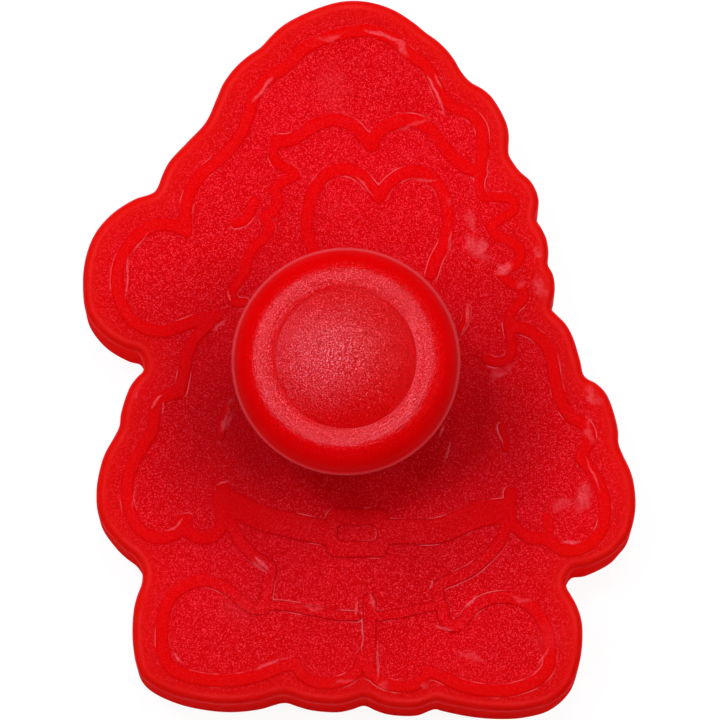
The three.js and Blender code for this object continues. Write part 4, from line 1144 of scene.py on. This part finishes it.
def wear_and_glint_mask(shader, place, noise):
    """Cloudy scuffs, hairline scratches and painted glints along some line edges, as warped
    ellipses.
    """
    warp = shader.noise(place, scale=420.0, detail=3.0, output="Color")
    shift = shader.vector("SUBTRACT", warp, (0.5, 0.5, 0.5))
    total = None
    for marks, push, raggedness, start, full in MARK_SETS:
        moved = shader.vector("ADD", place, shader.vector("SCALE", shift, push))
        ragged = (noise - 0.5) * raggedness
        for x, y, length, width, turn, strength in marks:
            reach = shader.ellipse(moved, x, y, half=(length / 2, width / 2, 3), turn=turn)
            mark = shader.ramp(reach + ragged, between=(start, full), to=(0.0, strength))
            total = mark if total is None else shader.math("MAXIMUM", total, mark)
    return total


def patch(shader, place, x, y, half_x, half_y, strength):
    """Soft round patch, fading as a bell curve; its depth of 1 m makes z count for little."""
    reach = shader.ellipse(place, AX + x, AY + y, half=(half_x, half_y, 1000))
    return shader.math("EXPONENT", reach * reach * -1.0) * strength


def shadow_mask(shader, place):
    """Painted shade round the knob, standing in for its shadow and for less light passing through
    where the mechanism stands behind the plastic.
    """
    total, *others, last = [patch(shader, place, *row) for row in SHADOWS]
    for other in others:
        total = total + other
    return shader.math("ADD", total, last, clamp=True)


def plate_material():
    shader = new_material("frosted_red_plastic")
    ramp, tint = shader.ramp, shader.tint
    place = shader.place()
    band, edge, line, glint, lip = [shader.attribute(name) for name in ATTRIBUTES]
    grain = shader.noise(place, scale=5600.0, detail=1.0)
    fine = shader.noise(place, scale=2600.0, detail=2.0, roughness=0.62)
    middle = shader.noise(place, scale=900.0, detail=3.0, roughness=0.6)
    broad = shader.noise(place, scale=55.0, detail=3.0, roughness=0.55)
    cloudy = shader.noise(place, scale=160.0, detail=4.0, roughness=0.6)
    # the bands round the coat are nearly as frosted as the flats, only their edges show
    coat = ramp(patch(shader, place, *COAT_PATCH), between=(0.25, 0.95))
    smooth = band * (1.0 - coat * 0.70)
    smooth = smooth * ramp(fine * 0.6 + cloudy * 0.4, between=(0.28, 0.52), to=(0.62, 1.0))
    flat = 1.0 - smooth

    # deep red with a fine milky grain on the frosted flats
    base = tint((0.67, 0.0002, 0.0018), (0.74, 0.0004, 0.0032), ramp(broad, between=(0.3, 0.7)))
    base = tint(base, (0.79, 0.0, 0.0001), smooth * 0.8)
    amount = 0.66 + flat * 0.34
    base = shader.grained(
        base, grain, pale=(0.92, 0.044, 0.064), pale_amount=amount - smooth * 0.46,
        dark=(0.46, 0.0, 0.0008), dark_amount=amount, dark_strength=0.50)
    milk = ramp(fine, between=(0.46, 0.74)) * flat
    milk = milk * ramp(cloudy, between=(0.25, 0.75), to=(0.25, 1.0))
    base = tint(base, (0.84, 0.018, 0.062), milk * 0.20)
    # painted glow of light passing through the plastic near the rim
    base = tint(base, (0.72, 0.0050, 0.0012), edge * 0.80)
    # painted shade round the knob and the mechanism behind the plastic
    base = tint(base, (0.34, 0.0, 0.0026), shadow_mask(shader, place))
    # thin painted shade along the foot of the lines, a painted highlight on the rim corner,
    # broken painted glints by the lines
    foot = (0.04 + coat * 0.50) * ramp(middle, between=(0.3, 0.6), to=(0.35, 1.0))
    base = tint(base, (0.30, 0.0, 0.001), line * foot)
    # painted highlight along the corner of the rim
    corner = lip * ramp(cloudy, between=(0.3, 0.7), to=(0.08, 0.40))
    base = tint(base, (0.88, 0.040, 0.040), corner)
    # painted glints, broken up by noise, just outside the raised lines
    breaks = shader.noise(place, scale=210.0, detail=2.0, roughness=0.6)
    painted_glint = glint * ramp(breaks, between=(0.53, 0.66))
    base = tint(base, (0.92, 0.22, 0.24), painted_glint * 0.60)
    # whitish scuffs and scratches, with painted glints along some line edges
    wear_and_glints = wear_and_glint_mask(shader, place, shader.noise(place, scale=700.0, detail=4.0, roughness=0.65))
    wear_and_glints = wear_and_glints * ramp(fine, between=(0.25, 0.65), to=(0.35, 1.0))
    base = tint(base, (0.88, 0.16, 0.19), wear_and_glints * 0.85)

    # roughness of the flats and of the smooth bands
    roughness = shader.signal("ShaderNodeMix", 0, {
        0: smooth, 2: 0.54 + cloudy * 0.14, 3: 0.34 + cloudy * 0.12}, data_type="FLOAT")
    normal = shader.bump(grain, strength=0.10 + flat * 0.40, distance=0.00006)
    normal = shader.bump(broad, strength=0.25, distance=0.0006, normal=normal)
    # light carried through the plastic to the standing walls
    upward = shader.separate(shader.signal("ShaderNodeNewGeometry", "Normal"))[2]
    height = shader.separate(place)[2]
    glow = ramp(upward, between=(0.75, 0.15), to=(0.0, 0.21))
    glow = glow * ramp(height, between=((TOP_Z + 0.3) * MM, (TOP_Z - 0.3) * MM))
    glow = glow * ramp(height, between=(0.0, TOP_Z * MM), to=(0.75, 1.1))
    # painted pale sheen on the rim where it turns away from view
    rim = ramp(shader.facing(), between=(0.35, 0.90), to=(0.0, 0.75))
    rim = rim * ramp(height, between=((TOP_Z - 1.3) * MM, (TOP_Z - 0.7) * MM))
    base = tint(base, (0.60, 0.060, 0.085), rim)
    return shader.finish(
        Base_Color=base, Roughness=roughness, Normal=normal,
        Specular_IOR_Level=0.012 + flat * 0.03,
        Subsurface_Weight=0.6, Subsurface_Radius=(1.0, 0.02, 0.02), Subsurface_Scale=0.004,
        Emission_Color=(1.0, 0.002, 0.002, 1.0), Emission_Strength=glow)


# ---------------------------------------------------------------- other materials


def turned_rings(shader, place, broad, normal):
    """Faint, slightly wavering rings about the plunger axis."""
    offset = shader.vector("SUBTRACT", place, (AX * MM, AY * MM, 0))
    level = shader.vector("MULTIPLY", offset, (1, 1, 0))
    wave = shader.vector("LENGTH", level, output="Value") * 4200.0 + broad * 5.0
    return shader.bump(shader.math("SINE", wave), strength=0.05, distance=0.00005,
                       normal=normal)


def knob_material(name, deep, bright, roughness, specular, turned=False):
    """Glossy red plastic, frosted where it faces up, with painted sheen in the grain's pale
    specks there, pinker where it leans towards the top lights.
    """
    shader = new_material(name)
    ramp, tint = shader.ramp, shader.tint
    place = shader.place()
    grain = shader.noise(place, scale=6200.0, detail=1.0)
    middle = shader.noise(place, scale=700.0, detail=3.0, roughness=0.6)
    broad = shader.noise(place, scale=60.0, detail=3.0, roughness=0.55)
    surface = shader.signal("ShaderNodeNewGeometry", "Normal")
    _, normal_y, normal_z = shader.separate(surface)
    # painted sheen: pale specks grow where the surface faces up and turn pink where it leans
    # towards the top lights
    up = ramp(normal_z, between=(0.80, 0.98))
    sheen_light_axis = tuple(Vector((-0.07, 0.05, 1.0)).normalized())
    lean = shader.vector("DOT_PRODUCT", surface, sheen_light_axis, output="Value")
    painted_sheen = ramp(lean, between=(0.958, 0.997))
    base = tint(deep, bright, ramp(broad, between=(0.3, 0.7)))
    amount = 0.22 + up * 0.78
    base = shader.grained(
        base, grain, pale=tint((0.95, 0.003, 0.004), (0.95, 0.034, 0.046), painted_sheen),
        pale_amount=amount, dark=(0.46, 0.0, 0.0005), dark_amount=amount, dark_strength=0.80)
    # painted pale sheen on the rim where it turns away from view
    rim = ramp(shader.facing(), between=(0.48, 0.76), to=(0.0, 0.72))
    base = tint(base, (0.80, 0.085, 0.100), rim)
    normal = shader.bump(grain, strength=0.05 + up * 0.50, distance=0.00008)
    if turned:
        normal = turned_rings(shader, place, broad, normal)
    normal = shader.bump(broad, strength=0.15, distance=0.0005, normal=normal)
    # light carried through the plastic on the -Y side of the shoulder
    glow = ramp(normal_y, between=(-0.25, -0.85), to=(0.0, 0.075))
    glow = glow * ramp(normal_z, between=(-0.1, 0.15))
    return shader.finish(
        Base_Color=base, Roughness=roughness + middle * 0.06, Normal=normal,
        Specular_IOR_Level=ramp(grain, between=(0.36, 0.64), to=(0.08, 1.92)) * specular,
        Subsurface_Weight=0.12, Subsurface_Radius=(1.0, 0.02, 0.02), Subsurface_Scale=0.0010,
        Emission_Color=(1.0, 0.0, 0.001, 1.0), Emission_Strength=glow)


def inner_material():
    shader = new_material("satin_red_plastic_inner")
    place = shader.place()
    band = shader.attribute("band")
    fine = shader.noise(place, scale=1900.0, detail=2.0, roughness=0.6)
    broad = shader.noise(place, scale=70.0, detail=3.0, roughness=0.55)
    base = shader.tint((0.58, 0.004, 0.010), (0.68, 0.008, 0.016),
                       shader.ramp(broad, between=(0.3, 0.7)))
    base = shader.tint(base, (0.72, 0.002, 0.006), band * 0.5)
    normal = shader.bump(fine, strength=0.3, distance=0.0001)
    normal = shader.bump(broad, strength=0.2, distance=0.0005, normal=normal)
    return shader.finish(Base_Color=base, Roughness=(0.44 + fine * 0.1) - band * 0.14,
                         Normal=normal, Specular_IOR_Level=0.4)


def steel_material(name, colour, roughness, streak):
    """Steel with fine streaks; streak squeezes the noise along z."""
    shader = new_material(name)
    place = shader.place()
    squeezed = shader.signal("ShaderNodeMapping", 0, {"Scale": (1, 1, streak), "Vector": place})
    streaks = shader.noise(squeezed, scale=900.0, detail=3.0, roughness=0.6)
    broad = shader.noise(place, scale=250.0, detail=3.0, roughness=0.6)
    base = shader.tint(tuple(c * 0.82 for c in colour), colour,
                       shader.ramp(broad, between=(0.35, 0.7)))
    return shader.finish(Base_Color=base, Metallic=1.0, Roughness=roughness + streaks * 0.18,
                         Normal=shader.bump(streaks, strength=0.15, distance=0.00008))


plate_plastic = plate_material()
knob_plastic = knob_material(
    "red_plastic_knob", deep=(0.67, 0.0003, 0.0008), bright=(0.73, 0.0006, 0.0015),
    roughness=0.13, specular=0.19)
cap_plastic = knob_material(
    "red_plastic_button", deep=(0.585, 0.0003, 0.0008), bright=(0.63, 0.0005, 0.0014),
    roughness=0.16, specular=0.26, turned=True)
inner_plastic = inner_material()
wire_steel = steel_material("drawn_steel_wire", colour=(0.60, 0.61, 0.63), roughness=0.22,
                            streak=9)
screw_steel = steel_material("zinc_plated_steel", colour=(0.66, 0.67, 0.70), roughness=0.26,
                             streak=3)

# object, material, slot, CAD node, body it rides
for thing, material, slot, node, rides in (
    (body, plate_plastic, "plate_plastic", "cutter_body", "cutter"),
    (spring, wire_steel, "spring_steel", "return_spring", "cutter"),
    (stamp, inner_plastic, "inner_plastic", "embossing_plate", "plunger"),
    (stem, inner_plastic, "inner_plastic", "plunger_stem", "plunger"),
    (knob_base, knob_plastic, "knob_plastic", "knob_base", "plunger"),
    (knob_shell, knob_plastic, "knob_plastic", "knob_shell", "plunger"),
    (thumb_cap, cap_plastic, "knob_plastic", "thumb_cap", "plunger"),
    (screw, screw_steel, "screw_steel", "knob_screw", "plunger"),
):
    thing.data.materials.clear()
    thing.data.materials.append(material)
    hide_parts(node)
    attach(thing, rides)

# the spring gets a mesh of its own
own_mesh(spring)

# ---------------------------------------------------------------- floor, lights, camera (m)


def make_floor():
    """Pale to the camera, nearly black in glossy reflections."""
    shader = new_material("pale_floor")
    glossy = shader.signal("ShaderNodeLightPath", "Is Glossy Ray")
    camera = shader.signal("ShaderNodeLightPath", "Is Camera Ray")
    base = shader.tint((0.94, 0.94, 0.94), (0.03, 0.03, 0.03), glossy)
    material = shader.finish(
        Base_Color=shader.tint(base, (0.14, 0.14, 0.14), camera), Roughness=0.9,
        Specular_IOR_Level=0.05, Emission_Color=(1, 1, 1, 1), Emission_Strength=camera * 0.915)
    half, z = 6.0, -0.0002
    mesh = bpy.data.meshes.new("floor")
    mesh.from_pydata([(-half, -half, z), (half, -half, z), (half, half, z), (-half, half, z)],
                     [], [(0, 1, 2, 3)])
    floor = add_object("floor", mesh)
    floor.data.materials.append(material)


def aim(thing, target, away, distance):
    """Stands a light or camera off the target along a unit vector, looking back at it."""
    thing.location = Vector(target) + away * distance
    thing.rotation_mode = "QUATERNION"
    thing.rotation_quaternion = (-away).to_track_quat("-Z", "Y")


WHITE = (1, 1, 1)
RATED_DISTANCE = 1.4
# name, lean from straight up, azimuth (degrees), power and size at the rated distance,
# distance, colour, shows in reflections
LIGHTS = (
    ("top_a", 15, 146, 3.3, 0.15, 1.4, (1.0, 0.84, 1.20), True),
    ("top_b", 11.5, 80, 2.4, 0.18, 1.4, (1.0, 0.92, 1.12), True),
    ("top_c", 20, 180, 0.9, 0.44, 1.4, WHITE, False),
    ("top_d", 20, 0, 1.8, 0.44, 1.4, WHITE, False),
    ("back_a", 42, 90, 3.3, 0.44, 0.8, WHITE, False),
    ("back_b", 42, 135, 4.3, 0.44, 0.8, WHITE, False),
    ("back_c", 42, 45, 2.3, 0.44, 0.8, WHITE, False),
    ("side_a", 42, 180, 2.9, 0.44, 1.4, WHITE, False),
    ("side_b", 42, 0, 2.5, 0.44, 1.4, WHITE, False),
    ("front", 52, 270, 1.1, 0.44, 1.4, WHITE, False),
)


def make_light(name, lean, azimuth, power, size, distance, colour, glossy):
    t, a = math.radians(lean), math.radians(azimuth)
    nearness = distance / RATED_DISTANCE
    light = bpy.data.lights.new(name, "AREA")
    light.shape = "DISK"
    light.size = size * nearness
    light.energy = power * nearness * nearness
    light.color = colour
    lamp = add_object(name, light)
    away = Vector((math.sin(t) * math.cos(a), math.sin(t) * math.sin(a), math.cos(t)))
    aim(lamp, (0, 0, 0.02), away.normalized(), distance)
    lamp.visible_glossy = glossy


def make_world():
    """Faint white light, with a pale backdrop seen only by the camera."""
    world = bpy.data.worlds.new("studio")
    shader = Shader(world)
    light = shader.signal("ShaderNodeBackground", 0, {"Color": (1, 1, 1, 1), "Strength": 0.01})
    backdrop = shader.signal("ShaderNodeBackground", 0,
                             {"Color": (0.98, 0.98, 0.98, 1), "Strength": 1.0})
    camera = shader.signal("ShaderNodeLightPath", "Is Camera Ray")
    mixed = shader.signal("ShaderNodeMixShader", 0, {0: camera, 1: light, 2: backdrop})
    shader.node("ShaderNodeOutputWorld", {0: mixed})
    bpy.context.scene.world = world


def make_camera():
    """Long lens looking almost straight down, leaning a little towards -Y."""
    tilt = math.radians(6.6)
    camera = bpy.data.cameras.new("camera")
    camera.sensor_width = 36.0
    camera.lens = 338.2
    camera.clip_start, camera.clip_end = 0.05, 20
    holder = add_object("camera", camera)
    aim(holder, target=(0.000163, 0.0000436, 0.008),
        away=Vector((0, -math.sin(tilt), math.cos(tilt))), distance=0.9)
    bpy.context.scene.camera = holder


make_floor()
for row in LIGHTS:
    make_light(*row)
make_world()
view = bpy.context.scene.view_settings
view.view_transform = "Standard"
view.look = "None"
view.exposure = 0.0
make_camera()
